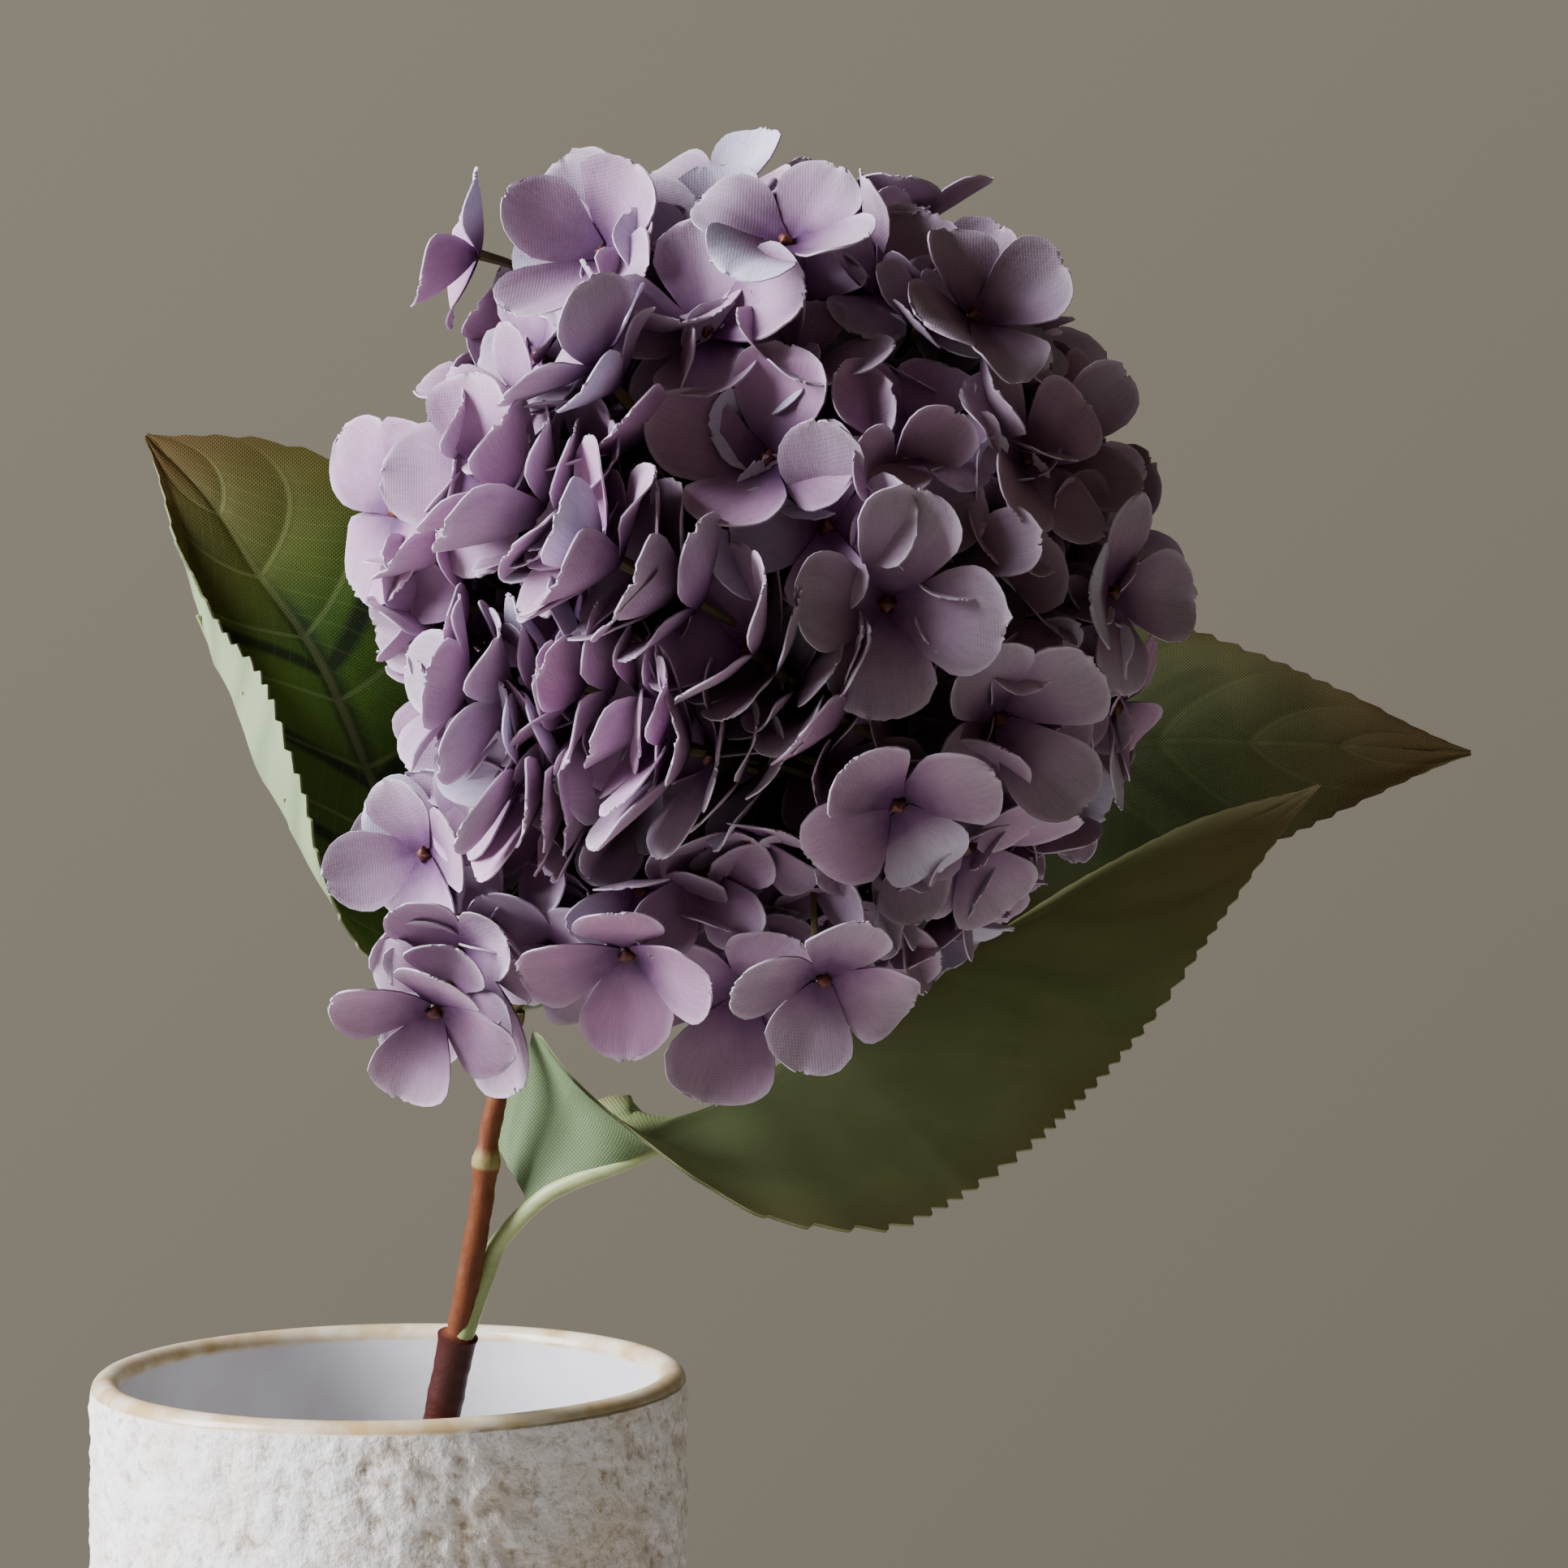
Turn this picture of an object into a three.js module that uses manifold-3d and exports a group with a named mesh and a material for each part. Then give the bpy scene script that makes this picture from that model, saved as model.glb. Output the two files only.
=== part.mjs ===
// A fabric hydrangea in a straight stoneware vase. One moulded stem leans on the
// vase's lip and carries three fabric leaves on moulded ribs and a round head of
// four-petalled florets. Millimetres, +Z up, origin at the centre of the vase's foot,
// +Y away from the side the head is shown from.
import * as THREE from "three";
import { mergeVertices } from "three/addons/utils/BufferGeometryUtils.js";
import Module from "manifold-3d";

const wasm = await Module();
wasm.setup();

// ---- Driving dimensions -------------------------------------------------------

const GAP = 0.3; // clearance between pieces that touch on the real thing

const VASE = { radius: 55, height: 180, wall: 5, base: 8, footBevel: 2.5, innerFillet: 6 };

const STEM = {
  restAngle: -72.5, // where the stem leans on the lip, in degrees about the vase's axis
  slopeX: 0.199, // sideways travel for each millimetre of height, inside the vase
  slopeY: -0.327,
  sleeveRadius: 3.4, // lower sleeve, pushed over the thinner stem
  caneRadius: 2.9,
  neckRadius: 2.1,
  nodeRadius: 2.9,
  sleeveRise: 14, // heights above the vase's lip
  nodeRise: 45,
  forkRise: 71,
  leanX: 13, // travel from the lip to the fork at the foot of the head
  leanY: -18,
  bow: 0.25, // how much faster than evenly the lean starts, so the cane bows
  sleeveFlare: 1.06, // the sleeve's mouth and the fork as shares of their own radii
  forkFlare: 1.1,
  stepLength: 0.8, // the step from sleeve to cane, and the tapers at the node and fork
  nodeTaper: 2,
  forkTaper: 4,
  sides: 8,
};

const HEAD = { across: 57, deep: 54, tall: 67, offsetX: 44, offsetY: -3, offsetZ: 65 };

const FLORET = {
  sheet: 0.7, // petal thickness
  cup: 0.2, // depth of the cup as a share of the span
  cupPower: 1.5, // the cup is flat at the eye and rises faster towards the rim
  eye: 0.22, // radii of the eye, of the notch between petals and of the rim, as shares
  throat: 0.36, // of half the span
  rim: 0.97,
  shoulder: 21, // half the angle that a petal fills, in degrees
  knobRadius: 1.3,
  knobLength: 3.2,
  knobShoulder: 0.6, // the knob's straight part starts this far below the sheet
  knobTaper: 0.8,
  least: 14, // smallest span that a crowded floret may shrink to
  count: 51,
};

const TWIG = {
  mainRadius: 1.5,
  knobRadius: 1.9,
  tipRadius: 0.75,
  tipLength: 4.5, // straight end behind each floret's knob
  knots: 12, // where the main twigs end and the fine ones start
  knotReach: 0.42, // how far out the knots are, as a share of the head's radius
  gather: 0.45, // main twigs leave the fork this far towards the head's centre
  spread: 0.35, // before they turn this far towards their knots
};

const LEAF = {
  sheet: 0.7,
  ribRadius: 1.3,
  ribTipRadius: 0.5,
  stalkSwell: 1.25, // the stalk at its joint, as a share of the rib's radius
  ribStart: 0.01, // shares of the blade's length that the midrib runs between
  ribEnd: 0.91,
  sideRibRadius: 0.7,
  sideRibTaper: 0.12, // loss of radius for each step of a side rib
  sideRibSteps: 3,
  sideRibClimb: 0.055, // travel along and across the blade for each step
  sideRibSpread: 0.22,
};

// ---- Colours ------------------------------------------------------------------

const COLOURS = {
  vase: 0xd9d2c4,
  stem: 0x8a4a34,
  leaf: 0x4d6134,
  rib: 0x8fa06a,
  floret: 0xa98fae,
};

function material(colour, roughness) {
  return new THREE.MeshStandardMaterial({ color: colour, roughness, metalness: 0 });
}

// ---- Small helpers --------------------------------------------------------------

const group = new THREE.Group();

function addPiece(name, geometry, surface) {
  const mesh = new THREE.Mesh(geometry, surface);
  mesh.name = name;
  group.add(mesh);
}

function vec(x, y, z) {
  return new THREE.Vector3(x, y, z);
}

const radians = THREE.MathUtils.degToRad;

// A direction from an azimuth, measured from the front (-Y) towards +X, and an elevation.
function direction(azimuth, elevation) {
  const a = radians(azimuth);
  const e = radians(elevation);
  return vec(Math.sin(a) * Math.cos(e), -Math.cos(a) * Math.cos(e), Math.sin(e));
}

// Turns a closed mesh inside out if its faces point inwards.
function facingOut(geometry) {
  const place = geometry.getAttribute("position");
  const index = geometry.getIndex();
  const [a, b, c] = [vec(0, 0, 0), vec(0, 0, 0), vec(0, 0, 0)];
  let volume = 0;
  for (let i = 0; i < index.count; i += 3) {
    a.fromBufferAttribute(place, index.getX(i));
    b.fromBufferAttribute(place, index.getX(i + 1));
    c.fromBufferAttribute(place, index.getX(i + 2));
    volume += a.dot(b.cross(c));
  }
  if (volume < 0) {
    const turned = Array.from(index.array);
    for (let i = 0; i < turned.length; i += 3) {
      [turned[i + 1], turned[i + 2]] = [turned[i + 2], turned[i + 1]];
    }
    geometry.setIndex(turned);
  }
  return geometry;
}

// A closed body through rings of equally many points, capped at both ends.
function loft(rings) {
  const sides = rings[0].length;
  const points = rings.flat();
  const index = [];
  for (let ring = 0; ring + 1 < rings.length; ring++) {
    for (let side = 0; side < sides; side++) {
      const next = (side + 1) % sides;
      const [a, b] = [ring * sides + side, ring * sides + next];
      index.push(a, b, b + sides, a, b + sides, a + sides);
    }
  }
  for (const [start, flip] of [[0, true], [(rings.length - 1) * sides, false]]) {
    const middle = vec(0, 0, 0);
    for (let side = 0; side < sides; side++) middle.add(points[start + side]);
    points.push(middle.divideScalar(sides));
    for (let side = 0; side < sides; side++) {
      const pair = [start + side, start + ((side + 1) % sides)];
      if (flip) pair.reverse();
      index.push(points.length - 1, ...pair);
    }
  }
  const geometry = new THREE.BufferGeometry().setFromPoints(points);
  geometry.setIndex(index);
  return facingOut(geometry);
}

// A round tube along points, with a radius for each point.
function tube(points, radii, sides) {
  const rings = [];
  const across = vec(0, 0, 1);
  for (let i = 0; i < points.length; i++) {
    const before = points[Math.max(i - 1, 0)];
    const after = points[Math.min(i + 1, points.length - 1)];
    const along = after.clone().sub(before).normalize();
    if (i === 0 && Math.abs(along.z) > 0.9) across.set(1, 0, 0);
    across.addScaledVector(along, -across.dot(along)).normalize();
    const third = along.clone().cross(across);
    const ring = [];
    for (let side = 0; side < sides; side++) {
      const turn = (2 * Math.PI * side) / sides;
      const spot = points[i].clone().addScaledVector(across, radii[i] * Math.cos(turn));
      ring.push(spot.addScaledVector(third, radii[i] * Math.sin(turn)));
    }
    rings.push(ring);
  }
  return loft(rings);
}

function solidOf(geometry) {
  return new wasm.Manifold(
    new wasm.Mesh({
      numProp: 3,
      vertProperties: new Float32Array(geometry.getAttribute("position").array),
      triVerts: new Uint32Array(geometry.getIndex().array),
    }),
  );
}

const CRUMB = 0.02; // slivers finer than this are cleaned off a joined or cut solid

function geometryOf(solid) {
  const mesh = solid.simplify(CRUMB).getMesh();
  const geometry = new THREE.BufferGeometry();
  geometry.setAttribute("position", new THREE.BufferAttribute(mesh.vertProperties, 3));
  geometry.setIndex(new THREE.BufferAttribute(mesh.triVerts, 1));
  return geometry;
}

// Numbers from 0 to 1 that come out the same each time.
function dice(seed) {
  let state = seed;
  return () => {
    state = (state + 0x6d2b79f5) | 0;
    let t = Math.imul(state ^ (state >>> 15), 1 | state);
    t = (t + Math.imul(t ^ (t >>> 7), 61 | t)) ^ t;
    return ((t ^ (t >>> 14)) >>> 0) / 4294967296;
  };
}

// ---- Vase -----------------------------------------------------------------------

function vase() {
  const { radius, height, wall, base, footBevel, innerFillet } = VASE;
  const inside = radius - wall;
  const lip = wall / 2;
  const profile = [new THREE.Vector2(0, 0), new THREE.Vector2(radius - footBevel, 0)];
  profile.push(new THREE.Vector2(radius, footBevel));
  const lipSteps = 6;
  for (let i = 0; i <= lipSteps; i++) {
    const turn = (Math.PI * i) / lipSteps;
    const x = radius - lip + lip * Math.cos(turn);
    profile.push(new THREE.Vector2(x, height - lip + lip * Math.sin(turn)));
  }
  const filletSteps = 3;
  for (let i = 0; i <= filletSteps; i++) {
    const turn = (Math.PI / 2) * (i / filletSteps);
    const x = inside - innerFillet + innerFillet * Math.cos(turn);
    profile.push(new THREE.Vector2(x, base + innerFillet - innerFillet * Math.sin(turn)));
  }
  profile.push(new THREE.Vector2(0, base));
  const geometry = new THREE.LatheGeometry(profile, 40).rotateX(Math.PI / 2);
  geometry.deleteAttribute("normal");
  geometry.deleteAttribute("uv");
  return facingOut(mergeVertices(geometry));
}

addPiece("vase", vase(), material(COLOURS.vase, 0.55));

// ---- Places along the stem ---------------------------------------------------------

// The stem's axis crosses the lip's height where its sleeve just clears the rounded lip.
function restPoint() {
  const lip = VASE.wall / 2;
  const turn = radians(STEM.restAngle);
  const slope = STEM.slopeX * Math.cos(turn) + STEM.slopeY * Math.sin(turn);
  const reach = (lip + STEM.sleeveRadius + GAP) * Math.hypot(1, slope);
  const distance = VASE.radius - lip + slope * lip - reach;
  return vec(distance * Math.cos(turn), distance * Math.sin(turn), VASE.height);
}

const mouth = restPoint();

// A point on the stem's line inside the vase, at a height.
function insideAt(height) {
  const drop = VASE.height - height;
  return vec(mouth.x - STEM.slopeX * drop, mouth.y - STEM.slopeY * drop, height);
}

const lean = Math.hypot(STEM.slopeX, STEM.slopeY);
const foot = insideAt(VASE.base + GAP + STEM.sleeveRadius * lean);
const fork = mouth.clone().add(vec(STEM.leanX, STEM.leanY, STEM.forkRise));
const headCentre = fork.clone().add(vec(HEAD.offsetX, HEAD.offsetY, HEAD.offsetZ));

// A point on the stem above the lip: the share of the lean falls off as it rises.
function caneAt(rise) {
  const share = rise / STEM.forkRise;
  const eased = share * (1 + STEM.bow - STEM.bow * share);
  return mouth.clone().add(vec(STEM.leanX * eased, STEM.leanY * eased, rise));
}

// ---- Leaves ---------------------------------------------------------------------

// Each leaf hangs on a stalk that runs on as its midrib. spine holds points measured
// from its joint with the stem. face is roughly the way its upper side looks. fold
// holds, for both halves, the angle in degrees that the half rises from flat, given at
// even steps from the leaf's base to its tip, and hem is how far its last strip turns on.
const LEAVES = {
  leaf_left: {
    joint: fork.clone().add(vec(-1, 1, -3)),
    spine: [
      [-4, 4, 3],
      [-13, 12, 13],
      [-26, 21, 44],
      [-36, 29, 64],
      [-47, 33, 79],
      [-56, 36, 92],
      [-68, 38, 104],
    ],
    stalk: 0.07,
    width: [54, 27],
    face: [0.35, -0.93, 0.1],
    fold: { plus: [-60, -50, -25, 0, 10, 10], minus: [30, 22, 14, 8, 0, 0] },
    hem: { plus: 0, minus: 120 },
    ribStarts: [0.14, 0.32, 0.52],
  },
  leaf_front: {
    joint: caneAt(17),
    spine: [
      [5, -1, 10],
      [14, -7, 22],
      [31, -11, 30],
      [44, -8, 37],
      [62, 4, 48],
      [84, 19, 61],
      [113, 40, 72],
      [158, 60, 92],
    ],
    stalk: 0.06,
    width: [38, 40],
    face: [0, 0.1, 1],
    fold: {
      plus: [98, 90, -10, -48, -52, -54, -56, -57, -55, -52, -50, -48, -46],
      minus: [50, 20, -20, -30, -28, -18, 0, 16, 24],
    },
    hem: { plus: 0, minus: 0 },
    ribStarts: [0.34, 0.5, 0.64],
  },
  leaf_right: {
    joint: fork.clone().add(vec(0, 1, 1)),
    spine: [
      [5, 15, -2],
      [13, 38, 4],
      [31, 66, 21],
      [70, 83, 38],
      [115, 87, 45],
      [140, 88, 45],
      [181, 90, 43],
    ],
    stalk: 0.32,
    width: [34, 34],
    face: [0.1, -0.85, 0.5],
    fold: { plus: [0, -20, -28, -14], minus: [20, 8, 0, 0] },
    hem: { plus: 0, minus: 0 },
    ribStarts: [0.14, 0.32, 0.5],
  },
};

// Half-width of a blade from its base (0) to its tip (1), as a share of the widest:
// round at the base, widest before the middle and drawn out to a point.
const WIDEST_SHIFT = 0.7; // below 1 brings the widest place nearer the base
const BASE_ROUNDNESS = 0.6;
const TIP_SHARPNESS = 0.5;

function outline(along) {
  const swell = Math.sin(Math.PI * Math.pow(along, WIDEST_SHIFT));
  return Math.pow(swell, BASE_ROUNDNESS + TIP_SHARPNESS * along);
}

function between(values, share) {
  const place = THREE.MathUtils.clamp(share, 0, 1) * (values.length - 1);
  const low = Math.min(Math.floor(place), values.length - 2);
  return THREE.MathUtils.lerp(values[low], values[low + 1], place - low);
}

// How far across a half each line of points lies: the last strip is the hem.
const HEM_START = 0.78;
const ACROSS = [0, 0.4, HEM_START, 1];

const SHARPEST_FOLD = 2; // most that a lifted point on the fold is pushed out by its bend

// Gives each leaf its spine's curve and a function from (along, across) to its sheet.
function leafSheet(leaf) {
  const points = leaf.spine.map((p) => leaf.joint.clone().add(vec(...p)));
  const curve = new THREE.CatmullRomCurve3(points, false, "centripetal");
  const up = vec(...leaf.face);
  function frameAt(along) {
    const share = leaf.stalk + (1 - leaf.stalk) * along;
    const tangent = curve.getTangentAt(share);
    const normal = up.clone().addScaledVector(tangent, -up.dot(tangent)).normalize();
    const side = tangent.clone().cross(normal);
    return { origin: curve.getPointAt(share), tangent, normal, side };
  }
  // across runs from -1 to 1, and lift moves the point off the sheet to its upper side.
  function place(along, across, lift) {
    const { origin, normal, side } = frameAt(along);
    const plus = across >= 0;
    const half = plus ? leaf.fold.plus : leaf.fold.minus;
    const width = leaf.width[plus ? 0 : 1] * outline(along);
    const rise = radians(between(half, along));
    const turn = radians(plus ? leaf.hem.plus : leaf.hem.minus) * Math.sin(Math.PI * along);
    const sign = plus ? 1 : -1;
    const reach = Math.abs(across);
    const spot = origin.clone();
    const flat = Math.min(reach, HEM_START) * width;
    spot.addScaledVector(side, sign * flat * Math.cos(rise));
    spot.addScaledVector(normal, flat * Math.sin(rise));
    const strip = Math.max(reach - HEM_START, 0) * width;
    spot.addScaledVector(side, sign * strip * Math.cos(rise + turn));
    spot.addScaledVector(normal, strip * Math.sin(rise + turn));
    if (reach === 0) {
      const other = radians(between(leaf.fold.minus, along));
      const bend = (rise + other) / 2;
      const mitre = 1 / Math.max(Math.cos(bend), 1 / SHARPEST_FOLD);
      const inner = lift * bend > 0 ? mitre : 1;
      const tilt = (rise - other) / 2;
      spot.addScaledVector(side, -lift * inner * Math.sin(tilt));
      return spot.addScaledVector(normal, lift * inner * Math.cos(tilt));
    }
    const tilt = reach > HEM_START ? rise + turn : rise;
    spot.addScaledVector(side, -sign * lift * Math.sin(tilt));
    return spot.addScaledVector(normal, lift * Math.cos(tilt));
  }
  return { curve, place };
}

const BLADE_STEPS = 12;
const BASE_CROWDING = 1.2; // above 1 sets the first steps closer together
const BASE_SHARE = 0.03; // the blade's solid starts and stops where it has some width
const TIP_SHARE = 0.985;

function leafBlade(sheet, grown) {
  const lift = LEAF.sheet / 2 + grown;
  const lines = [...ACROSS.slice(1).reverse().map((v) => -v), ...ACROSS];
  const rings = [];
  for (let i = 0; i <= BLADE_STEPS; i++) {
    const along = BASE_SHARE + (TIP_SHARE - BASE_SHARE) * Math.pow(i / BLADE_STEPS, BASE_CROWDING);
    const top = lines.map((v) => sheet.place(along, v, lift));
    const under = lines.map((v) => sheet.place(along, v, -lift));
    rings.push([...top, ...under.reverse()]);
  }
  return loft(rings);
}

// The stalk, the midrib under the blade and pairs of side ribs, moulded as one piece.
function leafRib(leaf, sheet) {
  const under = -(LEAF.sheet / 2 + GAP + LEAF.ribRadius);
  const stalkSteps = 4;
  const points = [leaf.joint];
  for (let i = 0; i < stalkSteps; i++) {
    points.push(sheet.curve.getPointAt((leaf.stalk * i) / stalkSteps));
  }
  const ribSteps = 8;
  for (let i = 0; i <= ribSteps; i++) {
    const along = THREE.MathUtils.lerp(LEAF.ribStart, LEAF.ribEnd, i / ribSteps);
    points.push(sheet.place(along, 0, under));
  }
  const thick = LEAF.ribRadius * LEAF.stalkSwell;
  const radii = points.map((_, i) => {
    return THREE.MathUtils.lerp(thick, LEAF.ribTipRadius, i / (points.length - 1));
  });
  let solid = solidOf(tube(points, radii, 6));
  const drop = -(LEAF.sheet / 2 + GAP + LEAF.sideRibRadius);
  for (const start of leaf.ribStarts) {
    for (const sign of [-1, 1]) {
      const side = [sheet.place(start, 0, under)];
      for (let i = 1; i <= LEAF.sideRibSteps; i++) {
        const along = start + LEAF.sideRibClimb * i;
        side.push(sheet.place(along, sign * LEAF.sideRibSpread * i, drop));
      }
      const sideRadii = side.map((_, i) => LEAF.sideRibRadius * (1 - LEAF.sideRibTaper * i));
      solid = solid.add(solidOf(tube(side, sideRadii, 4)));
    }
  }
  return solid;
}

// ---- Stem ------------------------------------------------------------------------

// A point of the head from a direction and a share of its radius that way.
function headPoint(towards, reach) {
  const { across, deep, tall } = HEAD;
  return towards.clone().multiply(vec(across, deep, tall)).multiplyScalar(reach).add(headCentre);
}

// Directions spread evenly over a ball by the golden angle.
function spread(count) {
  const golden = Math.PI * (3 - Math.sqrt(5));
  return Array.from({ length: count }, (_, i) => {
    const z = 1 - (2 * i + 1) / count;
    const ring = Math.sqrt(1 - z * z);
    return vec(ring * Math.cos(golden * i), ring * Math.sin(golden * i), z);
  });
}

// Sleeve, cane and neck, from the vase's floor to the fork below the head. grown makes
// it fatter, for what is cut to fit round it.
function cane(grown) {
  const { sleeveRadius, caneRadius, neckRadius, nodeRadius, sleeveRise, nodeRise, forkRise } = STEM;
  const halfway = foot.clone().lerp(mouth, 0.5);
  const points = [foot, halfway, mouth];
  const radii = [sleeveRadius, sleeveRadius, sleeveRadius];
  const rises = [
    [sleeveRise, sleeveRadius * STEM.sleeveFlare],
    [sleeveRise + STEM.stepLength, caneRadius],
    [(sleeveRise + nodeRise) / 2, caneRadius],
    [nodeRise - STEM.nodeTaper, caneRadius],
    [nodeRise, nodeRadius],
    [nodeRise + STEM.nodeTaper, neckRadius],
    [forkRise - STEM.forkTaper, neckRadius],
    [forkRise, nodeRadius * STEM.forkFlare],
  ];
  for (const [rise, radius] of rises) {
    points.push(caneAt(rise));
    radii.push(radius);
  }
  return solidOf(tube(points, radii.map((radius) => radius + grown), STEM.sides));
}

const knots = spread(TWIG.knots).map((towards) => headPoint(towards, TWIG.knotReach));

// A twig from the fork to a knot, bowed through the axis of the head.
function mainTwig(knot, grown) {
  const bend = fork.clone().lerp(headCentre, TWIG.gather).lerp(knot, TWIG.spread);
  const end = knot.clone().add(knot.clone().sub(bend).normalize().multiplyScalar(TWIG.knobRadius));
  const slim = TWIG.mainRadius + grown;
  return solidOf(tube([fork, bend, knot, end], [slim, slim, TWIG.knobRadius + grown, slim], 5));
}

// The stem without its fine twigs, and a fatter copy that makes room for it.
function bareStem(grown) {
  let solid = cane(grown);
  for (const knot of knots) solid = solid.add(mainTwig(knot, grown));
  return solid;
}

let stem = bareStem(0);
const stemRoom = bareStem(GAP);
const obstacles = [stem]; // solids that the florets keep clear of

// ---- Leaves in their places -------------------------------------------------------

// The largest separate body of a solid: what a cut leaves of it without its crumbs.
function largest(solid) {
  return solid.decompose().reduce((a, b) => (b.volume() > a.volume() ? b : a));
}

for (const [name, leaf] of Object.entries(LEAVES)) {
  const sheet = leafSheet(leaf);
  const blade = leafBlade(sheet, 0);
  const bladeRoom = solidOf(leafBlade(sheet, GAP));
  const rib = largest(leafRib(leaf, sheet).subtract(stemRoom).subtract(bladeRoom));
  obstacles.push(solidOf(blade), rib);
  addPiece(name, blade, material(COLOURS.leaf, 0.75));
  addPiece(name.replace("leaf", "rib"), geometryOf(rib), material(COLOURS.rib, 0.5));
}

// ---- Florets ------------------------------------------------------------------------

// The florets on the head's face, each as azimuth, elevation, reach from the centre,
// azimuth and elevation that it looks to, turn of its petals, and span. Those in the
// fold on the left look sideways, so their petals stand edge on like pages.
const FACE_FLORETS = [
  [17, 0, 1.06, 12, 2, 50, 37],
  [0, 20, 0.98, -15, 20, 20, 34],
  [-13, 40, 1.0, -12, 28, 40, 35],
  [3, 47, 1.07, 5, 42, 10, 33],
  [-49, 58, 1.02, -30, 14, 45, 35],
  [-56, 19, 1.0, -35, 8, 10, 36],
  [-84, 14, 1.12, -50, 0, 35, 37],
  [-88, 47, 1.25, -75, 15, 20, 29],
  [-50, 78, 1.05, -10, 62, 0, 33],
  [30, 50, 0.98, 25, 46, 30, 33],
  [36, 36, 1.04, 34, 34, 0, 32],
  [24, 23, 1.02, 12, 30, 25, 34],
  [46, 20, 1.03, 42, 14, 10, 34],
  [82, 32, 0.99, 60, 30, 30, 31],
  [62, 3, 1.03, 58, -3, 15, 35],
  [38, -14, 1.03, 32, -20, 30, 35],
  [84, -12, 1.02, 74, -14, 0, 33],
  [20, -24, 1.03, 14, -28, 10, 35],
  [44, -35, 1.0, 42, -38, 20, 33],
  [-8, -62, 1.02, -4, -30, 15, 37],
  [10, -46, 1.12, 10, -40, 40, 33],
  [-78, -31, 1.08, -30, -8, 10, 34],
  [-94, -35, 1.26, -70, -10, 30, 27],
  [-60, -41, 1.37, -20, -25, 0, 28],
  [-66, -50, 1.0, -25, -30, 20, 32],
  [-31, -46, 0.94, -12, -45, 35, 33],
  [-46, -12, 1.0, -86, 8, 0, 34],
  [-37, -24, 1.0, -80, 4, 30, 33],
  [-25, -12, 0.9, -80, 10, 15, 33],
  [-36, 12, 0.98, -84, 34, 5, 34],
  [-24, 27, 0.98, -72, 46, 30, 33],
  [-14, 2, 0.98, -74, 26, 20, 31],
  [-9, -20, 1.0, -68, 14, 0, 34],
  [2, -9, 1.0, -58, 30, 30, 33],
];

// On the sides and back the florets are spread by rule.
const SPREAD = {
  spots: 260, // places tried
  least: 26, // degrees between neighbours
  stemClear: 20, // degrees kept clear round the way the stem comes in
  wander: 0.5, // how far a floret's look strays from straight out
  reach: 1,
  reachMore: 0.08, // chance adds up to this
  span: 32,
  spanMore: 4,
  seed: 7,
};

// The florets in the order they are placed: the face first, and then spots spread over
// the rest of the head, away from where the stem comes in.
function wantedFlorets() {
  const list = FACE_FLORETS.map(([azimuth, elevation, reach, lookA, lookE, turn, span]) => ({
    towards: direction(azimuth, elevation),
    reach,
    look: direction(lookA, lookE),
    turn,
    span,
  }));
  const roll = dice(SPREAD.seed);
  const stemWay = fork.clone().sub(headCentre).normalize();
  for (const towards of spread(SPREAD.spots)) {
    if (towards.angleTo(stemWay) < radians(SPREAD.stemClear)) continue;
    if (list.some((other) => other.towards.angleTo(towards) < radians(SPREAD.least))) continue;
    const stray = vec(roll() - 0.5, roll() - 0.5, roll() - 0.5).multiplyScalar(SPREAD.wander);
    const look = towards.clone().add(stray).normalize();
    const reach = SPREAD.reach + SPREAD.reachMore * roll();
    const turn = 90 * roll();
    const span = SPREAD.span + SPREAD.spanMore * roll();
    list.push({ towards, reach, look, turn, span });
  }
  return list;
}

// A four-petalled cup that looks along +Z, with the knob that its twig plugs into below.
// grown makes it fatter all round.
function floretBody(span, grown) {
  const half = span / 2;
  const sheet = FLORET.sheet / 2 + grown;
  const rise = (radius) => FLORET.cup * span * Math.pow(radius / half, FLORET.cupPower);
  const sides = 12; // for each petal: the notch before it and its two shoulders
  function ring(radiusAt, lift) {
    return Array.from({ length: sides }, (_, i) => {
      const shoulder = [0, 45 - FLORET.shoulder, 45 + FLORET.shoulder][i % 3];
      const turn = radians(90 * Math.floor(i / 3) + shoulder);
      const radius = radiusAt(i);
      return vec(radius * Math.cos(turn), radius * Math.sin(turn), rise(radius) + lift);
    });
  }
  const eye = () => FLORET.eye * half;
  const rim = (i) => (i % 3 === 0 ? FLORET.throat : FLORET.rim) * half + grown;
  const knob = FLORET.knobRadius + grown;
  const rings = [
    ring(eye, sheet),
    ring(rim, sheet),
    ring(rim, -sheet),
    ring(eye, -sheet),
    ring(() => knob, -sheet - FLORET.knobShoulder),
    ring(() => knob * FLORET.knobTaper, -FLORET.knobLength - grown),
  ];
  return loft(rings);
}

const TOUCH = 1e-5; // a common volume below this is rounding, not an overlap

function overlap(a, b) {
  const one = a.boundingBox();
  const two = b.boundingBox();
  for (let i = 0; i < 3; i++) {
    if (one.min[i] > two.max[i] || two.min[i] > one.max[i]) return false;
  }
  const common = a.intersect(b);
  const found = common.volume() > TOUCH;
  common.delete();
  return found;
}

// The twig from a knot to the tip under a floret's knob, which it meets from behind.
function twiglet(knot, tip, look, grown) {
  const bend = tip.clone().addScaledVector(look, -TWIG.tipLength);
  const radius = TWIG.tipRadius + grown;
  return solidOf(tube([knot, bend, tip], [radius, radius, radius], 3));
}

const STEP = 1.4; // how far a floret is moved at a time to find room
const SHRINK = 0.93;
const EXTRA_TURNS = [0, 30, 60]; // degrees
const KNOTS_TRIED = 4;
const TWIG_GAP = 0.27; // a little less than the gap, so that a twig can pass between florets

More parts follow.
